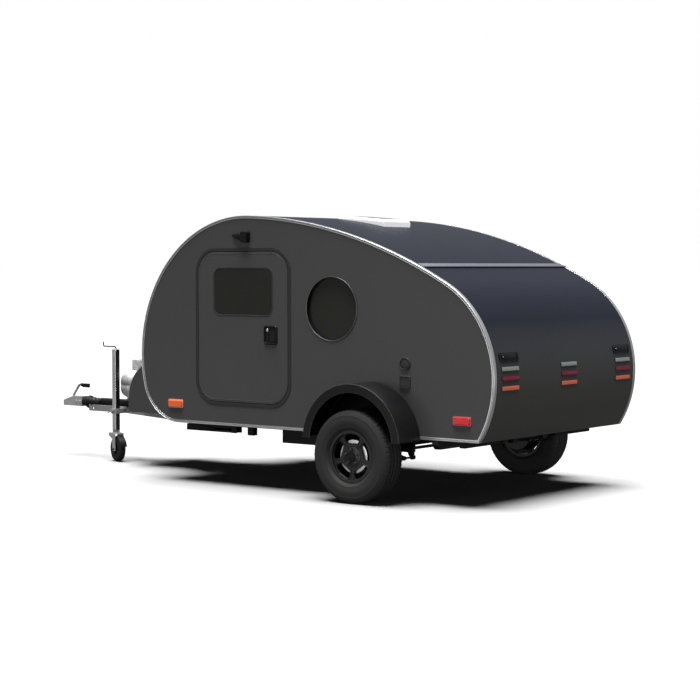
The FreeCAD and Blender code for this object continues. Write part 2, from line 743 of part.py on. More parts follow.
# knuckle, its lower end over the frame's lower edge
DOOR_HINGES = (
    ("lower", 268),
    ("upper", 888),
)
frame_parts = [frame_flange, frame_sleeve]
for name, rise in DOOR_HINGES:
    frame_parts.append(box("knuckle_" + name,
                           (leaf_front + size.seat_gap, leaf_face - size.wall, door_low + rise),
                           "size.panel_gap - size.seat_gap",
                           "size.wall - size.flange_proud / 2", "size.door_hinge_height"))
both_sides("door_frames", join("door_frame", frame_parts))

pane_outline = rounded(door_x + size.door_width - size.pane_behind_front - size.pane_width,
                       door_top - size.pane_under_top - size.pane_height,
                       size.pane_width, size.pane_height, size.pane_corner)
leaf = slab("leaf", "XZ_Plane", LEAF_FACE, "size.wall",
            door_outline(leaf_inset), [pane_outline])
left_and_right(leaf, "door")
pane = slab("pane", "XZ_Plane", LEAF_FACE, "size.glass", pane_outline)
left_and_right(pane, "door_window")
handle = box("handle",
             (door_x + size.handle_before_rear, leaf_face, door_low + size.handle_over_low),
             "size.handle_width", "size.handle_depth", "size.handle_height")
left_and_right(handle, "door_handle")

# ---------------------------------------------------------------- round windows


def port_ring(name, at, length, radii):
    """Flat ring or disc about the centre of the round window."""
    owner = body(name)
    made = sketch(owner, "XZ_Plane", at)
    for radius in radii:
        circle(made, ahead(size.port_ahead), port_z, radius)
    pad(owner, made, length)
    return owner


PORT_PANE = "size.port_radius - size.port_flange"
port_flange = port_ring("port_flange", LEAF_FACE, "size.flange_proud",
                        ("size.port_radius", PORT_PANE))
port_sleeve = port_ring("port_sleeve", WALL_FACE, "size.wall",
                        ("size.port_radius - size.port_sleeve", PORT_PANE))
both_sides("round_window_rims", join("port_rim", [port_flange, port_sleeve]))
pane_face = WALL_FACE + " - size.port_pane_set_back"
both_sides("round_window_panes", port_ring("port_pane", pane_face, "size.glass", (PORT_PANE,)))

# ---------------------------------------------------------------- fittings on the side walls
porch_low = door_top + size.porch_over_door
porch = slab("porch", "YZ_Plane", ahead(size.porch_ahead), "size.porch_length", polygon([
    (wall_face, porch_low + size.porch_height / 3),
    (wall_face + size.porch_depth, porch_low),
    (wall_face + size.porch_depth, porch_low + size.porch_height / 3),
    (wall_face, porch_low + size.porch_height),
]))
both_sides("porch_lights", porch)

# marker lamp, its rear end ahead of the wheel centres
MARKERS = (
    ("front", 1851),
    ("rear", -883),
)
markers = []
for name, place in MARKERS:
    marker = box("marker_" + name,
                 (ahead(place), wall_face, body_bottom + size.marker_over_bottom),
                 "size.marker_length", "size.marker_depth", "size.marker_height")
    markers += [marker, mirror("marker_right_" + name, marker)]
piece(group("markers", markers), "side_markers")

inlet_x = ahead(-size.inlet_behind)
power_inlet = cylinder("power_inlet", "size.power_inlet_radius", "size.inlet_depth",
                       (inlet_x, wall_face, body_bottom + size.power_inlet_over_bottom),
                       (0, 1, 0))
water_inlet = box("water_inlet",
                  (inlet_x - size.water_inlet_size / 2, wall_face,
                   body_bottom + size.water_inlet_over_bottom - size.water_inlet_size / 2),
                  "size.water_inlet_size", "size.inlet_depth", "size.water_inlet_size")
piece(group("inlets", [power_inlet, water_inlet]), "service_inlets")

# ---------------------------------------------------------------- fenders
fender_x = ahead(-size.fender_behind)
fender_z = size.tyre_radius + size.fender_over_wheel
fender_rise = body_bottom - size.fender_under_bottom - fender_z


def arch_band(depth):
    """Section between the outside of the arch and an arch `depth` further in."""
    edges = []
    feet = []
    for radius in (size.fender_radius, size.fender_radius - depth):
        foot = math.degrees(math.asin(fender_rise / radius))
        edge = arc(fender_x, fender_z, radius, foot, 180 - foot)
        edges.append(edge)
        feet.append((edge.StartPoint, edge.EndPoint))
    (outer_start, outer_end), (inner_start, inner_end) = feet
    edges.append(Part.LineSegment(outer_start, inner_start))
    edges.append(Part.LineSegment(outer_end, inner_end))
    return edges


fender_crown = slab("fender_crown", "XZ_Plane", fender_reach,
                    fender_reach - wall_face, arch_band(size.fender_sheet))
fender_band = slab("fender_band", "XZ_Plane", fender_reach, "size.fender_sheet",
                   arch_band(size.fender_lip))
fender_blank = join("fender_blank", [fender_crown, fender_band])
# the lower ends stand on the edge trim under the wall
trim_room = box("trim_room", (fender_x - size.fender_radius - size.wall, wall_face, 0),
                "2 * size.fender_radius + 2 * size.wall", "size.trim_thickness",
                LOWER_EDGE + " + size.trim_face")
left_and_right(cut("fender", fender_blank, trim_room), "fender")

# ---------------------------------------------------------------- roof vent
vent_x = ahead(size.vent_ahead + size.vent_length / 2)
vent_foot = V(vent_x, 0, roof.height_over(vent_x))
vent_turn = FreeCAD.Rotation(V(0, 1, 0), -size.vent_tilt)


def vent_box(name, inset, low, high):
    """Box on the vent's slope, moved in from its sides, between two heights over the roof."""
    made = doc.addObject("Part::Box", name)
    put(made, "Length", size.vent_length - 2 * inset)
    put(made, "Width", size.vent_width - 2 * inset)
    put(made, "Height", high - low)
    corner = V(-size.vent_length / 2 + inset, -size.vent_width / 2 + inset, low)
    made.Placement = FreeCAD.Placement(vent_foot + vent_turn.multVec(corner), vent_turn)
    return made


vent_blank = cut("vent_blank", vent_box("vent_outside", 0, -size.wall, size.vent_rise),
                 vent_box("vent_inside", size.vent_ring, -2 * size.wall, 2 * size.wall))
roof_curve = cylinder("roof_curve", "size.roof_radius", INSIDE_WIDTH,
                      (roof.u, -inside_half, roof.v), (0, 1, 0))
piece(cut("vent_frame", vent_blank, roof_curve), "roof_vent_frame")
lid_low = size.vent_rise + size.seat_gap
lid_high = lid_low + size.vent_lid_height
piece(cut("vent_lid", vent_box("vent_lid_outside", 0, lid_low, lid_high),
          vent_box("vent_lid_inside", size.vent_shell, -size.wall, lid_high - size.vent_shell)),
      "roof_vent_lid")

# ---------------------------------------------------------------- chassis under the floor
RAIL_HEIGHT = "size.frame_depth"
rear_member_x = ahead(-size.rear_member_behind)
front_member_x = ahead(size.front_member_ahead)
side_rail_in = size.side_rail_out - size.bar_width
drawbar_slope = math.tan(math.radians(size.drawbar_angle))
drawbar_across = size.bar_width / math.cos(math.radians(size.drawbar_angle))


def drawbar_out(x):
    """Outer face of the left drawbar rail at a place along the trailer, from the middle."""
    return (tip_x - x) * drawbar_slope


main_rail = box("main_rail",
                (rear_member_x + size.bar_width, size.main_rail_out - size.bar_width,
                 frame_bottom),
                "size.front_member_ahead + size.rear_member_behind - size.bar_width",
                "size.bar_width", RAIL_HEIGHT)
both_sides("main_rails", main_rail)

rear_end = size.rear_member_reach
rear_low = body_bottom - size.rear_member_depth
rear_bevel = size.rear_member_chamfer
members = [
    box("member_front", (front_member_x, -size.front_member_reach, frame_bottom),
        "size.bar_width", "2 * size.front_member_reach", RAIL_HEIGHT),
    slab("member_rear", "YZ_Plane", rear_member_x, "size.bar_width", polygon([
        (-rear_end, body_bottom), (-rear_end, rear_low + rear_bevel),
        (-rear_end + rear_bevel, rear_low), (rear_end - rear_bevel, rear_low),
        (rear_end, rear_low + rear_bevel), (rear_end, body_bottom)])),
    cylinder("cross_tube", "size.cross_tube_radius", 2 * rear_end,
             (ahead(-size.cross_tube_behind), -rear_end, frame_bottom - size.cross_tube_radius),
             (0, 1, 0)),
]
# outriggers between main rail and suspension rail, rear face ahead of the wheel centres
OUTRIGGERS = (
    ("front", size.side_rail_ahead - size.bar_width),
    ("rear", -size.side_rail_behind),
)
for name, place in OUTRIGGERS:
    outrigger = box("outrigger_" + name, (ahead(place), size.main_rail_out, frame_bottom),
                    "size.bar_width", "size.side_rail_out - size.bar_width - size.main_rail_out",
                    RAIL_HEIGHT)
    members += [outrigger, mirror("outrigger_right_" + name, outrigger)]
# bar between the drawbar's rails, under the rear end of the overrun tube
crossbar_x = locker_x + size.crossbar_before_locker
crossbar_rear = drawbar_out(crossbar_x) - drawbar_across
crossbar_fore = drawbar_out(crossbar_x + size.bar_width) - drawbar_across
members.append(slab("crossbar", "XY_Plane", frame_bottom, "size.bar_width", polygon([
                        (crossbar_x, -crossbar_rear),
                        (crossbar_x + size.bar_width, -crossbar_fore),
                        (crossbar_x + size.bar_width, crossbar_fore),
                        (crossbar_x, crossbar_rear)])))
piece(group("members", members), "cross_members")

side_rail = box("side_rail",
                (ahead(-size.side_rail_behind), side_rail_in,
                 body_bottom - size.side_rail_depth),
                "size.side_rail_ahead + size.side_rail_behind", "size.bar_width",
                "size.side_rail_depth")
both_sides("suspension_rails", side_rail)

# ---------------------------------------------------------------- suspension
arm_in = size.side_rail_out + size.arm_gap
arm_out = arm_in + size.arm_thickness
disc_face = size.rim_width / 2 - size.disc_inset
pivot_z = body_bottom - size.pivot_under_bottom
tail_z = size.tyre_radius - size.tail_under_wheel
spindle_reach = track_half + disc_face - size.rim_wall - arm_out
arm_web = slab("arm_web", "XZ_Plane", arm_out, "size.arm_thickness", polygon([
    (ahead(size.pivot_ahead), pivot_z - size.pivot_eye),
    (ahead(size.pivot_ahead), pivot_z + size.pivot_eye),
    (ahead(0), size.tyre_radius + size.arm_half_depth),
    (ahead(-size.tail_behind), tail_z + size.tail_eye),
    (ahead(-size.tail_behind), tail_z - size.tail_eye),
    (ahead(0), size.tyre_radius - size.arm_half_depth),
]))
arm = join("arm", [
    arm_web,
    cylinder("arm_pivot_eye", "size.pivot_eye", "size.arm_thickness",
             (ahead(size.pivot_ahead), arm_in, pivot_z), (0, 1, 0)),
    cylinder("arm_pivot_bolt", "size.pivot_bolt", "size.arm_gap + size.arm_thickness + size.pivot_bolt_end",
             (ahead(size.pivot_ahead), size.side_rail_out, pivot_z), (0, 1, 0)),
    cylinder("arm_tail_eye", "size.tail_eye", "size.arm_thickness",
             (ahead(-size.tail_behind), arm_in, tail_z), (0, 1, 0)),
    cylinder("arm_spindle", "size.spindle_radius", spindle_reach,
             (ahead(0), arm_out, size.tyre_radius), (0, 1, 0)),
])
both_sides("trailing_arms", arm)

shock_y = side_rail_in - size.shock_radius
shock_low = V(ahead(-size.tail_behind), shock_y, tail_z)
shock_high = V(ahead(-size.shock_upper_behind), shock_y,
               body_bottom - size.shock_upper_under_bottom)
shock_line = shock_high - shock_low
shock = join("shock", [
    cylinder("shock_tube", "size.shock_radius", shock_line.Length, tuple(shock_low),
             tuple(shock_line)),
    cylinder("shock_bolt", "size.shock_pin", arm_in - shock_y, tuple(shock_low), (0, 1, 0)),
])
both_sides("shock_absorbers", shock)

# ---------------------------------------------------------------- corner steadies
steady_half = size.steady_section / 2
steady_z = body_bottom - size.steady_plate - size.seat_gap - steady_half
# pivot ahead of the wheel centres, pivot's offset from the middle, heading of the folded leg
STEADIES = (
    ("front", 1350, 935, 0),
    ("rear", -720, 370, 90),
)
steady_nut_low = -steady_half - size.steady_nut_drop
brackets = []
for name, pivot_x, pivot_y, heading in STEADIES:
    place = FreeCAD.Placement(V(ahead(pivot_x), pivot_y, steady_z),
                              FreeCAD.Rotation(V(0, 0, 1), heading))
    foot = size.steady_length - steady_half
    leg = body("steady_leg_" + name)
    leg_sketch = sketch(leg, "XZ_Plane")
    draw(leg_sketch, [
        arc(0, 0, steady_half, 90, 270),
        Part.LineSegment(V(0, -steady_half, 0), V(foot, -steady_half, 0)),
        Part.LineSegment(V(foot, -steady_half, 0), V(foot, steady_half, 0)),
        Part.LineSegment(V(foot, steady_half, 0), V(0, steady_half, 0)),
    ])
    circle(leg_sketch, 0, 0, "size.steady_pin + size.running_gap")
    pad(leg, leg_sketch, "size.steady_section", midplane=True)
    leg.Placement = place
    left_and_right(leg, "steady_" + name)

    ear_in = steady_half + size.steady_ear_gap
    ear_out = ear_in + size.steady_plate
    plate_z = steady_half + size.seat_gap
    bracket_parts = [
        box("steady_plate_" + name, (-size.steady_nut_far, -ear_out, plate_z),
            "size.steady_nut_far + size.steady_section", 2 * ear_out, "size.steady_plate"),
        box("steady_nut_" + name, (-size.steady_nut_far, -steady_half, steady_nut_low),
            "size.steady_nut_far - size.steady_nut_near", "size.steady_section",
            plate_z - steady_nut_low),
        cylinder("steady_pin_" + name, "size.steady_pin", 2 * ear_out, (0, -ear_out, 0),
                 (0, 1, 0)),
    ]
    for side, low_y in (("in", -ear_out), ("out", ear_in)):
        bracket_parts.append(box("steady_ear_%s_%s" % (side, name),
                                 (-steady_half, low_y, -steady_half),
                                 "size.steady_section", "size.steady_plate",
                                 steady_half + plate_z))
    bracket = join("steady_bracket_" + name, bracket_parts)
    bracket.Placement = place
    brackets += [bracket, mirror("steady_bracket_right_" + name, bracket)]
piece(group("steady_bracket_set", brackets), "steady_brackets")

# ---------------------------------------------------------------- drawbar
drawbar_rear_x = front_member_x + size.bar_width
drawbar = slab("drawbar", "XY_Plane", frame_bottom, "size.bar_width", polygon([
    (bracket_x, 0.0), (bracket_x, drawbar_out(bracket_x)),
    (drawbar_rear_x, drawbar_out(drawbar_rear_x)),
    (drawbar_rear_x, drawbar_out(drawbar_rear_x) - drawbar_across),
    (tip_x - drawbar_across / drawbar_slope, 0.0),
]))
left_and_right(drawbar, "drawbar")

# coupling bracket: a channel, open below, under the overrun tube
bracket_half = size.bracket_width / 2
bracket_top = draw_z - size.draw_radius
bracket_low = bracket_top - size.bracket_depth
bracket_in = bracket_half - size.bracket_sheet
bracket_channel = body("bracket_channel")
channel_sketch = sketch(bracket_channel, "YZ_Plane", bracket_x)
draw(channel_sketch, polygon([
    (-bracket_half, bracket_low), (-bracket_in, bracket_low),
    (-bracket_in, bracket_top - size.bracket_sheet), (bracket_in, bracket_top - size.bracket_sheet),
    (bracket_in, bracket_low), (bracket_half, bracket_low),
    (bracket_half, bracket_top), (-bracket_half, bracket_top),
]))
pad(bracket_channel, channel_sketch, "size.bracket_length")
cable_hole = cylinder("cable_hole", "size.cable_hole_radius", "size.bracket_width",
                      (bracket_front_x - size.cable_hole_from_front, -bracket_half,
                       bracket_low + size.cable_hole_over_low),
                      (0, 1, 0))
piece(cut("coupling_channel", bracket_channel, cable_hole), "coupling_bracket")

# ---------------------------------------------------------------- overrun coupling
draw_rear_x = locker_x + size.panel_gap
draw_front_x = tip_x + size.draw_beyond_tip
overrun_tube = join("overrun", [
    cylinder("draw_tube", "size.draw_radius", draw_front_x - draw_rear_x,
             (draw_rear_x, 0, draw_z), (1, 0, 0)),
    cylinder("cross_stub", "size.draw_radius", "2 * size.stub_reach",
             (bottle_x - size.stub_behind_bottle, -size.stub_reach, draw_z), (0, 1, 0)),
])
piece(overrun_tube, "overrun_tube")

# folds of the rubber bellows: start along the bellows, radius
BELLOWS = (
    (0, 36),
    (32, 42),
    (74, 34),
    (90, 46),
    (126, 37),
    (134, 58),
)
folds = []
fold_ends = [start for start, _ in BELLOWS[1:]] + [size.bellows_length]
for (start, radius), end in zip(BELLOWS, fold_ends):
    folds.append(cylinder("fold_at_%d" % start, radius, end - start,
                          (draw_front_x + start, 0, draw_z - size.bellows_drop), (1, 0, 0)))
# the rear folds are flattened over the coupling bracket
fold_floor = box("fold_floor", (bracket_x, -bracket_half, 0),
                 "size.bracket_length", "size.bracket_width", bracket_top)
piece(cut("bellows", join("bellows_folds", folds), fold_floor), "coupling_bellows")

# coupling head: pressed steel with a sloping nose and a socket for the ball
head_rear_x = draw_front_x + size.bellows_length
head_front_x = head_rear_x + size.head_length
head_slope_x = head_front_x - size.head_nose
head_low = draw_z - size.head_drop
head_top = head_low + size.head_height
head_blank = slab("head_blank", "XZ_Plane", 0, "size.head_width", polygon([
    (head_rear_x, head_low), (head_front_x, head_low),
    (head_front_x, head_low + size.head_nose_height),
    (head_slope_x, head_top), (head_rear_x, head_top),
]), midplane=True)
ball_socket = cylinder("ball_socket", "size.ball_radius", "size.ball_depth",
                       (head_front_x - size.ball_behind_front, 0, head_low), (0, 0, 1))
piece(cut("head", head_blank, ball_socket), "coupling_head")

# lever that stands on the head and reaches back over the bellows
LEVER_OUTLINE = (
    # ahead of the head's slope, over the head's top
    (8, -2.67), (34, -11.33), (36, -2), (-46, 98), (-56, 106), (-172, 106), (-172, 66),
    (-64, 66), (-62, 88), (10, 4),
)
lever = slab("lever", "XZ_Plane", 0, "size.lever_width",
             polygon([(head_slope_x + u, head_top + v) for u, v in LEVER_OUTLINE]),
             midplane=True)
piece(lever, "coupling_lever")

# ---------------------------------------------------------------- jockey wheel
jack_x = tip_x - size.jack_behind_tip
jack_y = size.jack_offset
clamp_hole = size.jack_size + 2 * size.sliding_gap
clamp_half = clamp_hole / 2 + size.clamp_wall
pad_fore_x = jack_x + size.clamp_pad_ahead
pad_rear_x = jack_x - size.clamp_pad_behind
clamp = slab(
    "clamp", "XY_Plane", frame_bottom + (size.bar_width - size.clamp_height) / 2,
    "size.clamp_height",
    polygon([
        (pad_rear_x, drawbar_out(pad_rear_x)),
        (pad_fore_x, drawbar_out(pad_fore_x)),
        (pad_fore_x, drawbar_out(pad_fore_x) + size.clamp_wall),
        (jack_x + clamp_half, drawbar_out(jack_x + clamp_half) + size.clamp_wall),
        (jack_x + clamp_half, jack_y + clamp_half), (jack_x - clamp_half, jack_y + clamp_half),
        (jack_x - clamp_half, drawbar_out(jack_x - clamp_half) + size.clamp_wall),
        (pad_rear_x, drawbar_out(pad_rear_x) + size.clamp_wall),
    ]),
    [polygon([
        (jack_x - clamp_hole / 2, jack_y - clamp_hole / 2),
        (jack_x + clamp_hole / 2, jack_y - clamp_hole / 2),
        (jack_x + clamp_hole / 2, jack_y + clamp_hole / 2),
        (jack_x - clamp_hole / 2, jack_y + clamp_hole / 2),
    ])])
piece(clamp, "jack_clamp")

fork_top = 2 * size.jockey_radius + size.fork_over_wheel
jack_low = fork_top + size.jack_over_fork
jack_high = jack_low + size.jack_length
jack_half = size.jack_size / 2
jack_in = jack_half - size.jack_wall
outer_tube = slab("outer_tube", "XY_Plane", jack_low, "size.jack_length",
                  rounded(jack_x - jack_half, jack_y - jack_half, size.jack_size, size.jack_size,
                          size.jack_wall),
                  [polygon([(jack_x - jack_in, jack_y - jack_in),
                            (jack_x + jack_in, jack_y - jack_in),
                            (jack_x + jack_in, jack_y + jack_in),
                            (jack_x - jack_in, jack_y + jack_in)])])
jack_cap = box("jack_cap", (jack_x - jack_half, jack_y - jack_half, jack_high),
               "size.jack_size", "size.jack_size", "size.jack_wall")
# crank: up, forward and up again
crank_low = jack_high + size.jack_wall
crank_arm_z = crank_low + size.crank_rise
crank_end_x = jack_x + size.crank_reach
crank = [
    cylinder("crank_stem", "size.crank_radius", "size.crank_rise",
             (jack_x, jack_y, crank_low), (0, 0, 1)),
    cylinder("crank_arm", "size.crank_radius", "size.crank_reach",
             (jack_x, jack_y, crank_arm_z), (1, 0, 0)),
    cylinder("crank_handle", "size.crank_radius", "size.crank_grip",
             (crank_end_x, jack_y, crank_arm_z), (0, 0, 1)),
]
for name, x in (("crank_knee", jack_x), ("crank_elbow", crank_end_x)):
    bend = doc.addObject("Part::Sphere", name)
    put(bend, "Radius", "size.crank_radius")
    bend.Placement.Base = V(x, jack_y, crank_arm_z)
    crank.append(bend)
piece(join("jack", [outer_tube, jack_cap] + crank), "jack_tube")

leg_half = jack_in - size.sliding_gap
leg_bar = box("leg_bar", (jack_x - leg_half, jack_y - leg_half, fork_top + size.seat_gap),
              2 * leg_half, 2 * leg_half, "size.leg_length")
leg_bore = cylinder("leg_bore", "size.swivel_pin + size.running_gap",
                    "size.swivel_depth + size.panel_gap", (jack_x, jack_y, fork_top), (0, 0, 1))
piece(cut("inner_leg", leg_bar, leg_bore), "jack_leg")

# fork and wheel are drawn about the leg's axis and then turned to their rest position
fork_place = FreeCAD.Placement(V(jack_x, jack_y, 0),
                               FreeCAD.Rotation(V(0, 0, 1), -size.jockey_turn))
fork_in = size.jockey_width / 2 + size.fork_gap
fork_out = fork_in + size.fork_sheet
axle_low = size.jockey_radius - 2 * size.jockey_pin
skirt_low = fork_top - size.fork_skirt
cheek_front = -size.jockey_trail + size.fork_foot_half
cheek_rear = -size.jockey_trail - size.fork_foot_half
cheek_outline = polygon([
    (cheek_rear, axle_low), (cheek_front, axle_low),
    (cheek_front, skirt_low - size.fork_shoulder), (size.fork_head_half, skirt_low),
    (size.fork_head_half, fork_top), (-size.fork_head_half, fork_top),
    (-size.fork_head_half, skirt_low), (cheek_rear, skirt_low - size.fork_shoulder),
])
fork = join("fork", [
    slab("cheek_left", "XZ_Plane", fork_out, "size.fork_sheet", cheek_outline),
    slab("cheek_right", "XZ_Plane", -fork_in, "size.fork_sheet", cheek_outline),
    box("fork_crown", (-size.fork_head_half, -fork_out, fork_top - size.fork_sheet),
        "2 * size.fork_head_half", 2 * fork_out, "size.fork_sheet"),
    cylinder("swivel_pin", "size.swivel_pin", "size.swivel_depth", (0, 0, fork_top), (0, 0, 1)),
    cylinder("jockey_axle", "size.jockey_pin", 2 * fork_out + 2 * size.fork_sheet,
             (-size.jockey_trail, -fork_out - size.fork_sheet, size.jockey_radius), (0, 1, 0)),
])
fork.Placement = fork_place
piece(fork, "jockey_fork")


def wheel_section(half_width, radius, shoulder, bore):
    """Half section of a plain wheel: u along its axle, v its radius."""
    tread = [
        arc(half_width - shoulder, radius - shoulder, shoulder, 0, 90),
        arc(-half_width + shoulder, radius - shoulder, shoulder, 90, 180),
    ]
    return chain(tread, closed=False) + [
        Part.LineSegment(V(-half_width, radius - shoulder, 0), V(-half_width, bore, 0)),
        Part.LineSegment(V(-half_width, bore, 0), V(half_width, bore, 0)),
        Part.LineSegment(V(half_width, bore, 0), V(half_width, radius - shoulder, 0)),
    ]


jockey = turned("jockey", "YZ_Plane",
                wheel_section(size.jockey_width / 2, size.jockey_radius, size.jockey_shoulder,
                              size.jockey_pin + size.running_gap), "H_Axis")
jockey.Placement = fork_place.multiply(
    FreeCAD.Placement(V(-size.jockey_trail, 0, size.jockey_radius), FreeCAD.Rotation()))
piece(jockey, "jockey_wheel")

# ---------------------------------------------------------------- front locker
locker_top = frame_top + size.locker_height
lid_hinge_x = ahead(size.locker_hinge_ahead)


def locker_solid(name, inset):
    """The locker's inside or outside: flat bottom and front, round upper edge."""
    radius = size.locker_radius - inset
    back = ahead(size.locker_rear) + inset
    edge = arc(locker_x - size.locker_radius, locker_top - size.locker_radius, radius, 0, 90)
    section = [
        edge,
        Part.LineSegment(edge.EndPoint, V(back, locker_top - inset, 0)),
        Part.LineSegment(V(back, locker_top - inset, 0), V(back, frame_top + inset, 0)),
        Part.LineSegment(V(back, frame_top + inset, 0),
                         V(locker_x - inset, frame_top + inset, 0)),
        Part.LineSegment(V(locker_x - inset, frame_top + inset, 0), edge.StartPoint),
    ]
    blank = slab(name + "_blank", "XZ_Plane", 0, 2 * (size.locker_half - inset), section,
                 midplane=True)
    # its back follows the nose of the body
    nose = slab(name + "_nose", "XZ_Plane", 0, "size.body_width",
                outline(-size.panel_gap - inset), midplane=True)
    return cut(name, blank, nose)


locker_shell = cut("locker_shell", locker_solid("locker_outside", 0),
                   locker_solid("locker_inside", size.locker_sheet))


def lid_zone(name, inset):
    """Block that holds the lid: between the side rims, ahead of the hinge, over the split."""
    half = size.locker_half - size.locker_rim - inset
    low = frame_top + size.locker_split + inset
    return box(name, (lid_hinge_x + inset, -half, low),
               size.locker_front - size.locker_hinge_ahead - inset + size.wall, 2 * half,
               locker_top - low + size.wall)


# two hinge leaves reach over the gap behind the lid
locker_parts = [cut("locker", locker_shell, lid_zone("lid_opening", 0))]
for name, side in (("left", 1), ("right", -1)):
    centre_y = side * size.locker_hinge_offset
    locker_parts.append(box(
        "locker_hinge_" + name,
        (lid_hinge_x, centre_y - size.locker_hinge_width / 2,
         locker_top - size.locker_sheet),
        "size.panel_gap - size.seat_gap", "size.locker_hinge_width", "size.locker_sheet"))
piece(join("locker_with_hinges", locker_parts), "locker_body")
locker_lid = doc.addObject("Part::MultiCommon", "locker_cover")
locker_lid.Shapes = [locker_shell, lid_zone("lid_cover", size.panel_gap)]
piece(locker_lid, "locker_lid")

# ---------------------------------------------------------------- gas bottle on its tray
tray_low = draw_z + size.draw_radius
tray = cylinder("tray", "size.tray_radius", "size.tray_thickness",
                (bottle_x, 0, tray_low), (0, 0, 1))
piece(tray, "bottle_tray")
bottle_low = tray_low + size.tray_thickness
crown = size.bottle_crown
knuckle = size.bottle_knuckle
knuckle_u = size.bottle_radius - knuckle
# radius of the dome that runs on from the knuckle and reaches the crown's height
dome = (crown ** 2 - knuckle ** 2 + knuckle_u ** 2) / (2 * (crown - knuckle))
dome_turn = math.degrees(math.atan2(dome - crown, knuckle_u))
side_low = bottle_low + crown
side_high = side_low + size.bottle_side
guard_low = side_high + crown - dome + math.sqrt(dome ** 2 - size.collar_radius ** 2)
guard_top = side_high + crown + size.collar_height
guard_turn = math.degrees(math.acos(size.collar_radius / dome))
tray_turn = math.degrees(math.acos(size.tray_seat / dome))
foot_z = side_low - crown + dome - math.sqrt(dome ** 2 - size.tray_seat ** 2)
bottle = turned("bottle", "XZ_Plane", [
    # foot ring, domed bottom, side, domed top and guard
    Part.LineSegment(V(0, bottle_low, 0), V(size.tray_seat, bottle_low, 0)),
    Part.LineSegment(V(size.tray_seat, bottle_low, 0), V(size.tray_seat, foot_z, 0)),
    arc(0, side_low - crown + dome, dome, -tray_turn, -dome_turn),
    arc(knuckle_u, side_low, knuckle, -dome_turn, 0),
    Part.LineSegment(V(size.bottle_radius, side_low, 0), V(size.bottle_radius, side_high, 0)),
    arc(knuckle_u, side_high, knuckle, 0, dome_turn),
    arc(0, side_high + crown - dome, dome, dome_turn, guard_turn),
    Part.LineSegment(V(size.collar_radius, guard_low, 0), V(size.collar_radius, guard_top, 0)),
    Part.LineSegment(V(size.collar_radius, guard_top, 0), V(0, guard_top, 0)),
    Part.LineSegment(V(0, guard_top, 0), V(0, bottle_low, 0)),
], "V_Axis")
bottle.Placement = FreeCAD.Placement(V(bottle_x, 0, 0), FreeCAD.Rotation())
piece(bottle, "gas_bottle")

# ---------------------------------------------------------------- road wheels
# drawn about the wheel's centre: u outwards along the axle, v the radius
wheel_place = FreeCAD.Placement(V(ahead(0), track_half, size.tyre_radius),
                                FreeCAD.Rotation())
half_tyre = size.tyre_width / 2
half_rim = size.rim_width / 2
bead = half_rim - size.rim_wall
bead_top = size.rim_radius + size.rim_lip + size.panel_gap
flank_top = size.rim_radius + size.rim_lip + size.tyre_flank
shoulder_v = size.tyre_radius - size.tyre_shoulder
tyre_section = chain([
    arc(half_tyre - size.tyre_shoulder, shoulder_v, size.tyre_shoulder, 0, 90),
    arc(-half_tyre + size.tyre_shoulder, shoulder_v, size.tyre_shoulder, 90, 180),
], closed=False)
flank = [(-half_tyre, shoulder_v), (-half_tyre, flank_top), (-bead, bead_top),
         (-bead, size.rim_radius), (bead, size.rim_radius), (bead, bead_top),
         (half_tyre, flank_top), (half_tyre, shoulder_v)]
for (u1, v1), (u2, v2) in zip(flank, flank[1:]):
    tyre_section.append(Part.LineSegment(V(u1, v1, 0), V(u2, v2, 0)))
tyre = turned("tyre", "YZ_Plane", tyre_section, "H_Axis")
tyre.Placement = wheel_place
left_and_right(tyre, "tyre")

lip_radius = size.rim_radius + size.rim_lip
barrel = size.rim_radius - size.rim_wall
disc_back = disc_face - size.disc_thickness
hub_bore = size.spindle_radius + size.running_gap
cap_back = disc_face - size.cap_thickness
rim = turned("rim", "YZ_Plane", polygon([
    (-half_rim, barrel), (disc_back, barrel), (disc_back, hub_bore), (cap_back, hub_bore),
    (cap_back, 0.0), (disc_face, 0.0), (disc_face, barrel), (half_rim, barrel),
    (half_rim, lip_radius), (bead, lip_radius), (bead, size.rim_radius),
    (-bead, size.rim_radius), (-bead, lip_radius), (-half_rim, lip_radius),
]), "H_Axis")
window_low = size.hub_radius + size.spoke_hub_edge
window_high = barrel - size.spoke_edge
window_turn = size.spoke_window / 2
corner = size.spoke_corner
# rounded corners: distance from the wheel's axis, and degrees from the window's middle
high_corner = window_high - corner
low_corner = window_low + corner
high_turn = window_turn - math.degrees(math.asin(corner / high_corner))
low_turn = window_turn - math.degrees(math.asin(corner / low_corner))


def rim_corner(distance, turn, start, end):
    """Rounded corner of the window whose middle stands straight over the axis."""
    u = distance * math.sin(math.radians(turn))
    v = distance * math.cos(math.radians(turn))
    return arc(u, v, corner, start, end)


window = sketch(rim, "XZ_Plane", disc_face + size.rim_wall)
draw(window, chain([
    arc(0, 0, window_high, 90 - high_turn, 90 + high_turn),
    rim_corner(high_corner, -high_turn, 90 + high_turn, 180 + window_turn),
    rim_corner(low_corner, -low_turn, 180 + window_turn, 270),
    rim_corner(low_corner, low_turn, 270, 360 - window_turn),
    rim_corner(high_corner, high_turn, -window_turn, 90 - high_turn),
]))
first_window = pocket(rim, window, "size.disc_thickness + 2 * size.rim_wall")
spokes = rim.newObject("PartDesign::PolarPattern", "rim_spokes")
spokes.Originals = [first_window]
spokes.Axis = (origin_feature(rim, "Y_Axis"), [""])
spokes.Angle = 360
put(spokes, "Occurrences", "size.spoke_count")
rim.Tip = spokes
rim.Placement = wheel_place
left_and_right(rim, "rim")

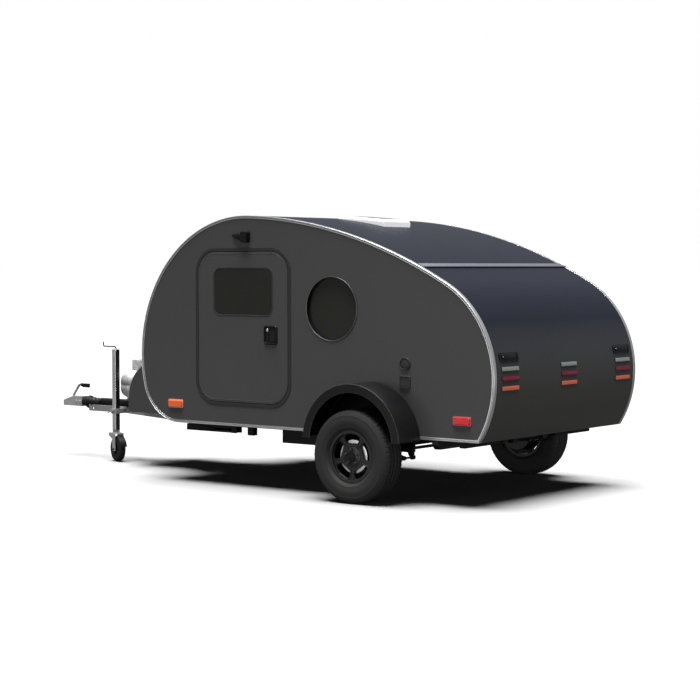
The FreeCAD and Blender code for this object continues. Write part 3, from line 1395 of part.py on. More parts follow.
drum_back = arm_out + size.arm_gap - track_half
drum_front = drum_back + size.drum_width
hub_outside = size.hub_radius - size.rim_wall
drum = turned("drum", "YZ_Plane", polygon([
    (drum_back, hub_bore), (disc_back, hub_bore), (disc_back, hub_outside),
    (drum_front, hub_outside), (drum_front, size.drum_radius), (drum_back, size.drum_radius),
]), "H_Axis")
drum.Placement = wheel_place
left_and_right(drum, "brake_drum")

# ---------------------------------------------------------------- check and write
doc.recompute()
for item in doc.Objects:
    if "Invalid" in item.State or "Error" in item.State:
        raise RuntimeError("%s failed: %s" % (item.Name, item.State))
labels = [item.Label for item in pieces]
if len(set(labels)) != len(labels):
    raise RuntimeError("two pieces share a name")
for item in pieces:
    if item.Shape.isNull() or not item.Shape.isValid():
        raise RuntimeError(item.Label + " has no valid shape")
os.makedirs("parts", exist_ok=True)
for item in pieces:
    item.Shape.exportStep(os.path.join("parts", item.Label + ".step"))
print(len(pieces), "pieces")
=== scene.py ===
"""Looks of the teardrop camping trailer, piece by piece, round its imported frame.

Metres. +X points forward to the coupling, +Y left, +Z up, and the origin is on the ground.
"""
import math

import bmesh
import bpy
from mathutils import Matrix, Vector
from mathutils.geometry import convex_hull_2d


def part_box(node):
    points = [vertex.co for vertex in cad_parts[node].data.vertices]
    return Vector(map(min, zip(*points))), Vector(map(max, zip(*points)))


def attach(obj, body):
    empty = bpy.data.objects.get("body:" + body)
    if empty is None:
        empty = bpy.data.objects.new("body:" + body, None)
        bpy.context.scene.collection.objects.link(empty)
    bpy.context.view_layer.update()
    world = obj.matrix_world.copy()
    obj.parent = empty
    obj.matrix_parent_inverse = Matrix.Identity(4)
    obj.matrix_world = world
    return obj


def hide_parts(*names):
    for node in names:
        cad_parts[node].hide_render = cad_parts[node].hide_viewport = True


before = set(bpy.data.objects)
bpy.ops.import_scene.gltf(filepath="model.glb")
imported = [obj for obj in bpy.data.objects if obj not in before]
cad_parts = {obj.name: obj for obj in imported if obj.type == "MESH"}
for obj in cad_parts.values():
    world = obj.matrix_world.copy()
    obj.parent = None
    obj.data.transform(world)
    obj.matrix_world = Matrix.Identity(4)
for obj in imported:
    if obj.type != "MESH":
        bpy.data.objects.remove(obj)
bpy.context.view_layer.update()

# ---------------------------------------------------------------- studio
# A pale seamless floor and a white surround under one very wide overhead light, with softer
# ones low down on the left and behind, as in a plain product studio.
VIEW_FROM = (-9.49, 11.554, 1.714)
VIEW_HEADING = math.radians(52.45)
VIEW_DOWN = math.radians(2.657)
LENS = 93.34
SENSOR = 36.0
FAR = 1000.0
FLOOR_REACH = 400.0
AIM_HEIGHT = 0.95


def stand(name, data, place, look):
    """A camera or a lamp at its place, turned to look along a direction."""
    made = bpy.data.objects.new(name, data)
    made.location = place
    made.rotation_mode = "QUATERNION"
    made.rotation_quaternion = Vector(look).to_track_quat("-Z", "Y")
    bpy.context.scene.collection.objects.link(made)
    return made


camera_data = bpy.data.cameras.new("studio_camera")
camera_data.lens = LENS
camera_data.sensor_width = SENSOR
camera_data.clip_end = FAR
bpy.context.scene.camera = stand("studio_camera", camera_data, VIEW_FROM, (
    math.cos(VIEW_HEADING) * math.cos(VIEW_DOWN), -math.sin(VIEW_HEADING) * math.cos(VIEW_DOWN),
    -math.sin(VIEW_DOWN)))
bpy.context.scene.view_settings.view_transform = "Standard"


def soft_light(name, kind, place, aim, energy, **settings):
    data = bpy.data.lights.new(name, kind)
    data.energy = energy
    for key, value in settings.items():
        setattr(data, key, value)
    stand(name, data, place, Vector(aim) - Vector(place))


soft_light("overhead_light", "SUN", (-0.2, 0.4, 12.0), (0.0, 0.0, 0.0), 10.6,
    angle=math.radians(45))
soft_light("side_light", "AREA", (1.0, 14.0, 0.5), (0.0, 0.0, AIM_HEIGHT), 350.0,
    shape="RECTANGLE", size=10.0, size_y=0.9)
soft_light("rear_light", "AREA", (-13.0, 1.0, 0.55), (0.0, 0.0, AIM_HEIGHT), 215.0,
    shape="RECTANGLE", size=6.0, size_y=1.0)


def put(tree, kind, sockets=None, **settings):
    """A shader node with its settings, its plain values and its links."""
    made = tree.nodes.new("ShaderNode" + kind)
    for key, value in settings.items():
        setattr(made, key, value)
    for key, value in (sockets or {}).items():
        if isinstance(value, bpy.types.NodeSocket):
            tree.links.new(value, made.inputs[key])
        else:
            made.inputs[key].default_value = value
    return made


def mix(tree, share, first, second, **settings):
    """Two colours blended; a share of one gives the second alone."""
    return put(tree, "MixRGB", {"Fac": share, "Color1": first, "Color2": second},
        **settings).outputs[0]


def tint(red, green=None, blue=None):
    """A colour; one number alone makes a grey."""
    return (red, red if green is None else green, red if blue is None else blue, 1.0)


# the surround is seen white, lights the trailer faintly and shows bluish in its gloss
surround = bpy.data.worlds.new("studio_surround")
surround.use_nodes = True
sky = surround.node_tree
rays = put(sky, "LightPath").outputs
reflected = mix(sky, rays["Is Glossy Ray"], tint(0.008, 0.008, 0.009), tint(0.34, 0.35, 0.38))
sky.links.new(mix(sky, rays["Is Camera Ray"], reflected, tint(1.0)),
    sky.nodes["Background"].inputs["Color"])
bpy.context.scene.world = surround

SHADER_CONSTANTS = {
    "metallic": ("Metallic", 0.0), "roughness": ("Roughness", 0.5),
    "specular": ("Specular IOR Level", 0.5), "coat": ("Coat Weight", 0.0),
    "coat_roughness": ("Coat Roughness", 0.1), "transmission": ("Transmission Weight", 0.0),
    "ior": ("IOR", 1.5)}


def new_material(name, **constants):
    """A Principled material, its node tree and its shader, with the constants set."""
    made = bpy.data.materials.new(name)
    made.use_nodes = True
    shader = made.node_tree.nodes["Principled BSDF"]
    for key, (socket, usual) in SHADER_CONSTANTS.items():
        shader.inputs[socket].default_value = constants.get(key, usual)
    return made, made.node_tree, shader


pale, pale_tree, pale_shader = new_material("pale_floor", roughness=0.9, specular=0.0)
# it throws little light back up, as a floor far larger than its lit part does
pale_tree.links.new(mix(pale_tree, put(pale_tree, "LightPath").outputs["Is Camera Ray"],
    tint(0.07), tint(0.36)), pale_shader.inputs["Base Color"])
floor_mesh = bpy.data.meshes.new("studio_floor")
floor_mesh.from_pydata([(FLOOR_REACH * x, FLOOR_REACH * y, 0)
    for x, y in ((-1, -1), (1, -1), (1, 1), (-1, 1))], [], [(0, 1, 2, 3)])
floor_mesh.materials.append(pale)
floor = bpy.data.objects.new("studio_floor", floor_mesh)
bpy.context.scene.collection.objects.link(floor)


# ---------------------------------------------------------------- side walls
# Sandwich panels: foam between two skins of satin anthracite laminate, with a pale liner
# towards the cabin. Cut to the body's outline and glued into the edge trims.
WALL_COLOUR = tint(0.062, 0.0616, 0.0624)
LINER_COLOUR = tint(0.62, 0.6, 0.56)
DUST_COLOUR = tint(0.19, 0.175, 0.15)
SAME_POINT = 2e-6
WELD_DISTANCE = 1e-5
EDGE_ANGLE = math.radians(38)
GROUP_OUTPUTS = {"Color": "Base Color", "Roughness": "Roughness", "Normal": "Normal"}
SOCKET_KINDS = {"Color": "Color", "Roughness": "Float", "Normal": "Vector"}


def start_group(name, **inputs):
    """A node group with named inputs, which gives a colour, a roughness and a normal."""
    tree = bpy.data.node_groups.new(name, "ShaderNodeTree")
    for socket, value in inputs.items():
        kind = "NodeSocketColor" if isinstance(value, tuple) else "NodeSocketFloat"
        tree.interface.new_socket(name=socket.replace("_", " "), in_out="INPUT",
            socket_type=kind).default_value = value
    for socket, kind in SOCKET_KINDS.items():
        tree.interface.new_socket(name=socket, in_out="OUTPUT", socket_type="NodeSocket" + kind)
    return tree, tree.nodes.new("NodeGroupInput").outputs


def end_group(tree, *results):
    out = tree.nodes.new("NodeGroupOutput").inputs
    for socket, result in zip(GROUP_OUTPUTS, results):
        tree.links.new(result, out[socket])


def math_node(tree, operation, *values, clamp=False):
    return put(tree, "Math", dict(enumerate(values)), operation=operation,
        use_clamp=clamp).outputs[0]


def noise(tree, place, scale, detail, roughness=0.5, distortion=0.0):
    return put(tree, "TexNoise", {"Vector": place, "Scale": scale, "Detail": detail,
        "Roughness": roughness, "Distortion": distortion}).outputs["Fac"]


def own(tree, kind, axis):
    """One axis of the piece's own place or of its own normal."""
    return put(tree, "SeparateXYZ", {0: put(tree, "TexCoord").outputs[kind]}).outputs[axis]


def turned_away(tree, rounded):
    """Zero on flat faces, more where an edge is rounded over."""
    flat = put(tree, "NewGeometry").outputs["Normal"]
    agreement = put(tree, "VectorMath", {0: rounded, 1: flat},
        operation="DOT_PRODUCT").outputs["Value"]
    return math_node(tree, "SUBTRACT", 1.0, agreement)


def bumps(tree, strength, distance, height, normal=None):
    sockets = {"Strength": strength, "Distance": distance, "Height": height}
    return put(tree, "Bump", dict(sockets, Normal=normal) if normal else sockets).outputs[0]


# The finish that paint, laminate, plastic and rubber share: patches that drift a little in
# tone, a fine grain, edges rounded over and painted paler as wear and as a painted highlight,
# dust that settles low down.
coated, given = start_group(
    "coated_surface", Color=tint(0.5), Drift=0.06, Patch_Scale=1.6, Grain_Scale=900.0,
    Grain_Depth=0.0001, Edge_Radius=0.002, Edge_Color=tint(0.2), Edge_Wear=0.2, Roughness=0.45,
    Roughness_Drift=0.1, Dust=0.0, Dust_Height=0.9)
place = put(coated, "TexCoord").outputs["Object"]
patches = noise(coated, place, given["Patch Scale"], 4.0, 0.6)
grain = noise(coated, place, given["Grain Scale"], 3.0, 0.6)
centred = math_node(coated, "SUBTRACT", patches, 0.5)
tone = math_node(coated, "MULTIPLY_ADD", centred,
    math_node(coated, "MULTIPLY", given["Drift"], 4.0), 1.0)
mixed = mix(coated, 1.0, given["Color"], tone, blend_type="MULTIPLY")
rounded = put(coated, "Bevel", {"Radius": given["Edge Radius"]}, samples=6).outputs[0]
edge = math_node(coated, "MULTIPLY", turned_away(coated, rounded), 5.0, clamp=True)
# edges painted paler: partly wear, partly a painted highlight
edge_wear_and_highlight = math_node(coated, "MULTIPLY", math_node(coated, "MULTIPLY", edge, given["Edge Wear"]),
    math_node(coated, "ADD", patches, 0.4), clamp=True)
wear_and_highlight_edged = mix(coated, edge_wear_and_highlight, mixed, given["Edge Color"])
height = put(coated, "SeparateXYZ", {0: place}).outputs["Z"]
low_down = math_node(coated, "SUBTRACT", 1.0,
    math_node(coated, "DIVIDE", height, given["Dust Height"]), clamp=True)
dusting = math_node(coated, "MULTIPLY", math_node(coated, "MULTIPLY", low_down, given["Dust"]),
    math_node(coated, "MULTIPLY", grain, 1.6), clamp=True)
drifted = math_node(coated, "MULTIPLY_ADD", centred, given["Roughness Drift"],
    given["Roughness"])
end_group(coated, mix(coated, dusting, wear_and_highlight_edged, DUST_COLOUR),
    math_node(coated, "ADD", drifted, math_node(coated, "MULTIPLY", dusting, 0.3), clamp=True),
    bumps(coated, 1.0, given["Grain Depth"], grain, rounded))


def grouped_material(name, group, **values):
    """A material whose colour, roughness and bumps come from a node group. Values with a
    capital are the group's inputs, the others the shader's constants."""
    constants = {key: value for key, value in values.items() if key.islower()}
    made, tree, shader = new_material(name, **constants)
    use = put(tree, "Group", node_tree=group)
    for key, value in values.items():
        if key not in constants:
            use.inputs[key.replace("_", " ")].default_value = value
    for output, socket in GROUP_OUTPUTS.items():
        tree.links.new(use.outputs[output], shader.inputs[socket])
    return made


def coated_material(name, colour, edge_colour=None, **values):
    """A material in the shared finish; its edges are painted paler, as wear and as a painted
    highlight.
    """
    paler = tuple(min(1.0, 2.2 * part + 0.01) for part in colour[:3])
    return grouped_material(name, coated, Color=colour, Edge_Color=edge_colour or tint(*paler),
        **values)


def dress(material, *nodes):
    """The CAD nodes keep their shape and take this finish."""
    for name in nodes:
        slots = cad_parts[name].data.materials
        slots.clear()
        slots.append(material)


def lay_over(material, mask, colour, socket="Base Color"):
    """Where the mask is one, the socket takes this colour in place of its own."""
    tree = material.node_tree
    target = tree.nodes["Principled BSDF"].inputs[socket]
    under = target.links[0].from_socket if target.links else tuple(target.default_value)
    tree.links.new(mix(tree, mask, under, colour), target)


def lined_material(name, colour, inner_mask, **values):
    """A coated panel whose cabin face, where the mask is one, is the pale liner."""
    made = coated_material(name, colour, **values)
    lay_over(made, inner_mask(made.node_tree), LINER_COLOUR)
    return made


def inside_of_walls(tree):
    """One on the cabin face of a side wall or door."""
    depth = math_node(tree, "ABSOLUTE", own(tree, "Object", "Y"))
    return math_node(tree, "LESS_THAN", depth, INNER_FACE)


INNER_FACE = max(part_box("side_panel_left")[0].y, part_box("door_left")[0].y) + 0.0005
LAMINATE = dict(Drift=0.05, Patch_Scale=0.8, Grain_Scale=1400.0, Grain_Depth=0.00006,
    Edge_Radius=0.002, Edge_Wear=0.25, Roughness=0.46, Roughness_Drift=0.12)
wall_material = lined_material("wall_laminate", WALL_COLOUR, inside_of_walls, specular=0.25,
    **LAMINATE)
dress(wall_material, "side_panel_left", "side_panel_right")


def arc(radius, steps, start=0.0, end=2 * math.pi):
    """(u, v) points along an arc about the origin, with both its ends."""
    turns = [start + (end - start) * step / steps for step in range(steps + 1)]
    return [(radius * math.cos(turn), radius * math.sin(turn)) for turn in turns]


def circle(radius, steps):
    return arc(radius, steps)[:-1]


def raised(outline, height):
    return [(u, v, height) for u, v in outline]


class Shape:
    """Points and faces of one piece, gathered from simple solids."""

    def __init__(self):
        self.points = []
        self.faces = []

    def skin(self, rings, place=Matrix(), closed=False, capped=True):
        """Skin over rings of points; every ring has the same count."""
        start, count = len(self.points), len(rings[0])
        for ring in rings:
            self.points += [place @ Vector(point) for point in ring]
        for step in range(len(rings) if closed else len(rings) - 1):
            here, there = start + step * count, start + (step + 1) % len(rings) * count
            for corner in range(count):
                following = (corner + 1) % count
                self.faces.append((here + corner, here + following, there + following,
                    there + corner))
        if capped and not closed:
            last = start + (len(rings) - 1) * count
            self.faces += [tuple(range(first, first + count)) for first in (start, last)]
        return self

    def prism(self, outline, low, high, place=Matrix()):
        """An outline of (u, v) points between two heights."""
        return self.skin([raised(outline, low), raised(outline, high)], place)

    def lathe(self, profile, place=Matrix(), steps=64, closed=False):
        """(along, radius) pairs turned about the local Z axis."""
        return self.skin([raised(circle(radius, steps), along) for along, radius in profile],
            place, closed=closed)

    def hoop(self, outline, section, place=Matrix(), closed=True):
        """A section of (outwards, up) points swept along an outline of (u, v) points."""
        rings, last = [], len(outline) - 1
        for index, (u, v) in enumerate(outline):
            before = Vector(outline[index - 1 if closed or index else 0])
            after = Vector(outline[(index + 1) % (last + 1) if closed else min(index + 1, last)])
            ahead = (after - before).normalized()
            rings.append([(u + ahead.y * away, v - ahead.x * away, up) for away, up in section])
        return self.skin(rings, place, closed=closed)

    def piece(self, name, body, material, slot=None, edge=0.0, smooth=35):
        """The finished object: in place, riding on a body, its edges rounded."""
        mesh = bpy.data.meshes.new(name)
        mesh.from_pydata(self.points, [], self.faces)
        mesh.materials.append(material)
        solid = bmesh.new()
        solid.from_mesh(mesh)
        bmesh.ops.remove_doubles(solid, verts=solid.verts, dist=SAME_POINT)
        bmesh.ops.recalc_face_normals(solid, faces=solid.faces)
        solid.to_mesh(mesh)
        solid.free()
        mesh.shade_smooth()
        mesh.set_sharp_from_angle(angle=math.radians(smooth))
        made = bpy.data.objects.new(name, mesh)
        bpy.context.scene.collection.objects.link(made)
        if edge:
            round_edges(made, edge)
        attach(made, body)
        return made


def round_edges(made, width, segments=3):
    bevel = made.modifiers.new("rounded_edges", "BEVEL")
    bevel.width = width
    bevel.segments = segments
    bevel.limit_method = "ANGLE"
    bevel.angle_limit = EDGE_ANGLE
    bevel.harden_normals = True


def soften(width, *nodes):
    """The CAD nodes keep their mesh and get rounded edges."""
    for name in nodes:
        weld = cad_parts[name].modifiers.new("weld", "WELD")
        weld.merge_threshold = WELD_DISTANCE
        round_edges(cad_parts[name], width, segments=2)


def rounded_outline(width, height, corner, steps=8, centre=(0.0, 0.0)):
    """Counter-clockwise (u, v) points of a rectangle with round corners."""
    outline = []
    for quarter, (side, rise) in enumerate(((1, 1), (-1, 1), (-1, -1), (1, -1))):
        u = centre[0] + side * (width / 2 - corner)
        v = centre[1] + rise * (height / 2 - corner)
        start = math.pi / 2 * quarter
        outline += [(u + out, v + up)
            for out, up in arc(corner, steps, start, start + math.pi / 2)]
    return outline


def on_side(side, x=0.0, z=0.0, y=0.0):
    """Place on a side wall: u forward, v up, w outwards from the wall's face."""
    return Matrix(((1, 0, 0, x), (0, 0, side, side * (WALL_FACE + y)), (0, 1, 0, z),
        (0, 0, 0, 1)))


class Box:
    """Lowest and highest corner of a CAD node, its middle and its size."""

    def __init__(self, node):
        self.low, self.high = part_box(node)
        self.middle = (self.low + self.high) / 2
        self.size = self.high - self.low


WALL_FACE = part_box("side_panel_left")[1].y
SIDES = (("left", 1), ("right", -1))
soften(0.0015, "side_panel_left", "side_panel_right")


# ---------------------------------------------------------------- edge trims
# Satin anodised aluminium angle bent round each side wall, with a rolled bead along its
# outer edge and a dark rubber insert that covers the screws.
TRIM_COLOUR = tint(0.5)
BEAD_RADIUS = 0.0042
INSERT_WIDTH = 0.004
anodised = coated_material("anodised_trim", TRIM_COLOUR, tint(0.85, 0.85, 0.86), metallic=0.85,
    Drift=0.05, Patch_Scale=3.0, Grain_Scale=700.0, Grain_Depth=0.00004, Edge_Radius=0.001,
    Edge_Wear=0.5, Roughness=0.34, Roughness_Drift=0.12)
black_rubber = coated_material("black_rubber", tint(0.012), Drift=0.08, Patch_Scale=6.0,
    Grain_Scale=500.0, Grain_Depth=0.00008, Edge_Radius=0.001, Edge_Wear=0.3, Roughness=0.62,
    Dust=0.04)
insert_material = coated_material("grey_insert", tint(0.17), Drift=0.06, Grain_Scale=500.0,
    Edge_Radius=0.001, Roughness=0.6)
dress(anodised, "edge_trims")
soften(0.001, "edge_trims")


def face_outline(node, side, depth=0.0006):
    """Outer (x, z) outline of a convex CAD node, seen from a side of the trailer."""
    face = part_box(node)[1].y - depth
    flat = [Vector((vertex.co.x, vertex.co.z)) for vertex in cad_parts[node].data.vertices
        if side * vertex.co.y > face]
    return [tuple(flat[index]) for index in convex_hull_2d(flat)]


def moved_in(outline, distance):
    """The outline of a counter-clockwise loop, moved inwards."""
    moved = []
    for index, (u, v) in enumerate(outline):
        after = Vector(outline[(index + 1) % len(outline)])
        ahead = (after - Vector(outline[index - 1])).normalized()
        moved.append((u - ahead.y * distance, v + ahead.x * distance))
    return moved


def evened(outline, step=0.03):
    """The closed outline with its points at even distances; its corners stay."""
    kept = []
    for index, point in enumerate(outline):
        before = Vector(point) - Vector(outline[index - 1])
        after = Vector(outline[(index + 1) % len(outline)]) - Vector(point)
        sharp = before.length and after.length and before.angle(after) > math.radians(15)
        if not kept or sharp or (Vector(point) - Vector(kept[-1])).length >= step:
            kept.append(point)
    return kept


bead_section = arc(BEAD_RADIUS, 8, end=math.pi)
insert_section = [(-INSERT_WIDTH / 2, -0.0005), (INSERT_WIDTH / 2, -0.0005),
    (INSERT_WIDTH / 2, 0.0008), (0.0, 0.0016), (-INSERT_WIDTH / 2, 0.0008)]
for name, side in SIDES:
    edge_line = evened(face_outline("edge_trims", side))
    at_face = on_side(side, y=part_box("edge_trims")[1].y - WALL_FACE)
    Shape().hoop(moved_in(edge_line, BEAD_RADIUS), bead_section, at_face).piece(
        "trim_bead_" + name, "trailer", anodised, slot="trim_aluminium", smooth=60)
    Shape().hoop(moved_in(edge_line, 3 * BEAD_RADIUS), insert_section, at_face).piece(
        "trim_insert_" + name, "trailer", insert_material, slot="rubber", smooth=60)


# ---------------------------------------------------------------- roof, nose and hatch skins
# Smooth anthracite sheet with a slight gloss, bent over the frame and glued at its edges.
# Its colour changes with height as painted light: bluer and darker on the sunlit top, a
# lighter grey low on the hatch where less light falls.
ROOF_TOP_SHEEN_COLOUR = tint(0.0078, 0.009, 0.0145)
HATCH_COLOUR = tint(0.062, 0.062, 0.058)
PAINTED_LIGHT_FROM = -1.25
PAINTED_LIGHT_PER_METRE = 1.7


def inside_of_skin(tree):
    """One on the faces that look into the cabin or the galley, in the sheet's own space."""
    own_space = put(tree, "TexCoord").outputs
    inwards = put(tree, "VectorMath", {0: own_space["Object"], 1: BODY_MIDDLE},
        operation="SUBTRACT").outputs[0]
    away = put(tree, "VectorMath", {0: own_space["Normal"], 1: inwards},
        operation="DOT_PRODUCT")
    return math_node(tree, "LESS_THAN", away.outputs["Value"], 0.0)


body_middle = Box("side_panel_left").middle
BODY_MIDDLE = (body_middle.x, 0.0, body_middle.z)
roof_material = lined_material("roof_laminate", ROOF_TOP_SHEEN_COLOUR, inside_of_skin, specular=0.08,
    **dict(LAMINATE, Grain_Depth=0.00003, Roughness=0.42, Edge_Wear=0.2))
roof_tree = roof_material.node_tree
roof_use = next(node for node in roof_tree.nodes if node.type == "GROUP")
# painted light: blends from the hatch's grey low down to the bluer sheen colour higher up
painted_light_share = math_node(roof_tree, "MULTIPLY_ADD", own(roof_tree, "Object", "Z"),
    PAINTED_LIGHT_PER_METRE, PAINTED_LIGHT_FROM, clamp=True)
roof_tree.links.new(mix(roof_tree, painted_light_share, HATCH_COLOUR, ROOF_TOP_SHEEN_COLOUR), roof_use.inputs["Color"])
dress(roof_material, "roof_panel", "nose_panel", "rear_hatch")


# ---------------------------------------------------------------- hatch hinge
# Pale grey aluminium extrusion across the roof: one leaf screwed to the roof, the barrel
# behind it carries the hatch. Its screws stand in a row.
HINGE_SCREWS = 13
SCREW_PITCH = 0.15
SCREW_INSET = 0.017
hinge_material = coated_material("hinge_extrusion", tint(0.095, 0.095, 0.115), metallic=0.35,
    Drift=0.04, Grain_Depth=0.00003, Roughness=0.42)
dress(hinge_material, "hatch_hinge")
soften(0.0012, "hatch_hinge")
stainless = coated_material("stainless_steel", tint(0.5, 0.5, 0.49), metallic=1.0, Drift=0.05,
    Patch_Scale=9.0, Grain_Scale=1200.0, Grain_Depth=0.00002, Edge_Radius=0.0006, Edge_Wear=0.4,
    Roughness=0.28, Roughness_Drift=0.1)
hinge_box = Box("hatch_hinge")
leaf_edge = max((vertex.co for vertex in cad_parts["hatch_hinge"].data.vertices
    if vertex.co.x > hinge_box.high.x - 0.001), key=lambda point: point.z)
leaf_slope = math.atan2(hinge_box.size.z, hinge_box.size.x)
screws = Shape()
for step in range(HINGE_SCREWS):
    at = Matrix.Translation((leaf_edge.x - SCREW_INSET,
        (step - (HINGE_SCREWS - 1) / 2) * SCREW_PITCH,
        leaf_edge.z - SCREW_INSET * math.tan(leaf_slope) - 0.001))
    at = at @ Matrix.Rotation(-leaf_slope, 4, "Y")
    screws.lathe([(-0.002, 0.0052), (0.0002, 0.0052), (0.0014, 0.0044), (0.0019, 0.0026),
        (0.0012, 0.0022), (0.0012, 0.0001)], at, steps=16)
screws.piece("hinge_screws", "trailer", stainless, slot="trim_aluminium")


# ---------------------------------------------------------------- floor, bulkhead and counter
# Clear lacquered birch plywood, 18 mm, glued and screwed; its plies show at the edges. The
# floor's downward faces are painted near black, painted shade that keeps light from bouncing
# into the shadow under the body.
UNDERSIDE_PAINTED_SHADE = tint(0.012, 0.011, 0.01)
birch, given = start_group("birch_ply", Color=tint(0.5, 0.36, 0.21), Dark=tint(0.3, 0.19, 0.1),
    Grain=1.0)
place = put(birch, "TexCoord").outputs["Object"]
stretched = put(birch, "Mapping", {"Vector": place, "Scale": (9.0, 1.1, 9.0)}).outputs[0]
fibre = noise(birch, stretched, 7.0, 8.0, 0.62, 0.8)
rings = put(birch, "TexWave", {"Vector": stretched, "Scale": 0.42, "Distortion": 9.0,
    "Detail": 3.0, "Detail Scale": 0.7}, bands_direction="X").outputs["Fac"]
figure = math_node(birch, "ADD", math_node(birch, "MULTIPLY", rings, 0.35),
    math_node(birch, "MULTIPLY", fibre, 0.65))
streak = math_node(birch, "MULTIPLY", figure, given["Grain"], clamp=True)
plies = put(birch, "TexWave", {"Vector": place, "Scale": 55.0},
    bands_direction="Z").outputs["Fac"]
up = put(birch, "SeparateXYZ", {0: put(birch, "NewGeometry").outputs["Normal"]}).outputs["Z"]
upright_edge = math_node(birch, "LESS_THAN", math_node(birch, "ABSOLUTE", up), 0.3)
lines = math_node(birch, "MULTIPLY", math_node(birch, "MULTIPLY", plies, upright_edge), 0.25)
end_group(birch, mix(birch, lines, mix(birch, streak, given["Color"], given["Dark"]),
    given["Dark"]), math_node(birch, "MULTIPLY_ADD", fibre, 0.18, 0.38),
    bumps(birch, 0.6, 0.0004, fibre))
dress(grouped_material("lacquered_birch", birch, coat=0.3, coat_roughness=0.25),
    "galley_bulkhead", "galley_counter")
floor_ply = grouped_material("floor_ply", birch)
# painted shade: the floor's downward faces are near black
lay_over(floor_ply, math_node(floor_ply.node_tree, "LESS_THAN",
    own(floor_ply.node_tree, "Normal", "Z"), -0.5), UNDERSIDE_PAINTED_SHADE)
dress(floor_ply, "floor_panel")
soften(0.0015, "floor_panel", "galley_bulkhead", "galley_counter")


# ---------------------------------------------------------------- doors and their frames
# Sandwich panel leaves in aluminium frames painted darker than the walls, a painted shade of
# the groove round the door. A black rubber seal runs round the opening, and a shallow pressed
# line round the leaf just inside its edge.
LEAF_CORNER = 0.157
LINE_INSET = 0.015
# darker than the wall as painted shade of the groove round the door; window edges use it too
frame_material = coated_material("frame_paint", tint(0.022, 0.022, 0.0225), tint(0.09),
    specular=0.3, **dict(LAMINATE, Edge_Radius=0.003, Edge_Wear=0.5))
dress(frame_material, "door_frames")
dress(wall_material, "door_left", "door_right")
soften(0.0018, "door_frames", "door_left", "door_right")
leaf_box = Box("door_left")
LEAF_PROUD = leaf_box.high.y - WALL_FACE
for name, side in SIDES:
    leaf = on_side(side, leaf_box.middle.x, leaf_box.middle.z, LEAF_PROUD)
    around = rounded_outline(leaf_box.size.x, leaf_box.size.z, LEAF_CORNER, 12)
    line = rounded_outline(leaf_box.size.x - 2 * LINE_INSET, leaf_box.size.z - 2 * LINE_INSET,
        LEAF_CORNER - LINE_INSET, 12)
    Shape().hoop(around, [(0.003, -0.012), (0.0048, -0.012), (0.0048, -0.0015), (0.0042, 0.0),
        (0.0032, -0.002)], leaf).piece(
        "door_seal_" + name, "trailer", black_rubber, slot="rubber", smooth=60)
    Shape().hoop(line, [(-0.0022, -0.0004), (0.0022, -0.0004), (0.001, 0.0012),
        (-0.001, 0.0012)], leaf).piece(
        "door_bead_" + name, "door_" + name, wall_material, slot="wall_laminate", smooth=60)


# ---------------------------------------------------------------- windows
# Dark tinted acrylic panes: the door's sits nearly flush in a black rubber section, the
# round one is set back in a black moulded rim, with a thin pale bead on it that is a painted
# highlight.
PANE_COLOUR = tint(0.105, 0.105, 0.088)
PANE_CORNER = 0.062
PORT_BEAD = 0.0022
acrylic = coated_material("tinted_acrylic", PANE_COLOUR, specular=0.25, transmission=0.8,
    ior=1.28, Drift=0.05, Patch_Scale=0.9, Grain_Depth=0.0, Edge_Radius=0.0005, Edge_Wear=0.0,
    Roughness=0.22, Roughness_Drift=0.02)
dress(acrylic, "door_window_left", "door_window_right", "round_window_panes")
black_moulding = coated_material("black_moulding", tint(0.0055, 0.0055, 0.006), tint(0.05),
    specular=0.16, Drift=0.08, Patch_Scale=5.0, Grain_Scale=650.0, Grain_Depth=0.00006,
    Edge_Radius=0.0012, Edge_Wear=0.5, Roughness=0.42)
# a pale metallic bead round the rim, a painted highlight line
highlight_bead_material = coated_material("painted_highlight_bead", tint(0.19), metallic=0.6, Grain_Depth=0.00003,
    Roughness=0.35)
dress(black_moulding, "round_window_rims")
soften(0.0015, "round_window_rims")
pane_box = Box("door_window_left")
port_box = Box("round_window_rims")
port_ring = circle(port_box.size.x / 2 - 2.2 * PORT_BEAD, 96)
for name, side in SIDES:
    pane = on_side(side, pane_box.middle.x, pane_box.middle.z, pane_box.high.y - WALL_FACE)
    port = on_side(side, port_box.middle.x, port_box.middle.z, port_box.high.y - WALL_FACE)
    around = rounded_outline(pane_box.size.x, pane_box.size.z, PANE_CORNER, 10)
    Shape().hoop(around, [(-0.007, -0.001), (0.004, -0.001), (0.0035, 0.0012),
        (-0.0015, 0.0024), (-0.006, 0.0012)], pane).piece(
        "window_seal_" + name, "door_" + name, black_rubber, slot="rubber", smooth=60)
    Shape().hoop(around, [(0.0035, -0.0005), (0.0062, -0.0005), (0.0058, 0.0008),
        (0.004, 0.0012)], pane).piece("window_edge_" + name, "door_" + name, frame_material,
        slot="frame_aluminium", smooth=60)
    Shape().hoop(port_ring, arc(PORT_BEAD, 6, end=math.pi), port).piece(
        "round_window_bead_" + name, "trailer", highlight_bead_material, slot="black_plastic", smooth=60)


# ---------------------------------------------------------------- porch lights
# Wedge-shaped awning lights over the doors, screwed to the wall: a black moulded block at
# the rear and a black cover that narrows forwards over a smoked lens.
PORCH_BLOCK = 0.062
BLOCK_CORNER = 0.012
smoked_lens = coated_material("smoked_lens", tint(0.03, 0.031, 0.031), coat=0.2,
    coat_roughness=0.15, Drift=0.05, Grain_Depth=0.0, Edge_Radius=0.001, Edge_Wear=0.2,
    Roughness=0.18)
porch_box = Box("porch_lights")
porch_deep = porch_box.high.y - WALL_FACE
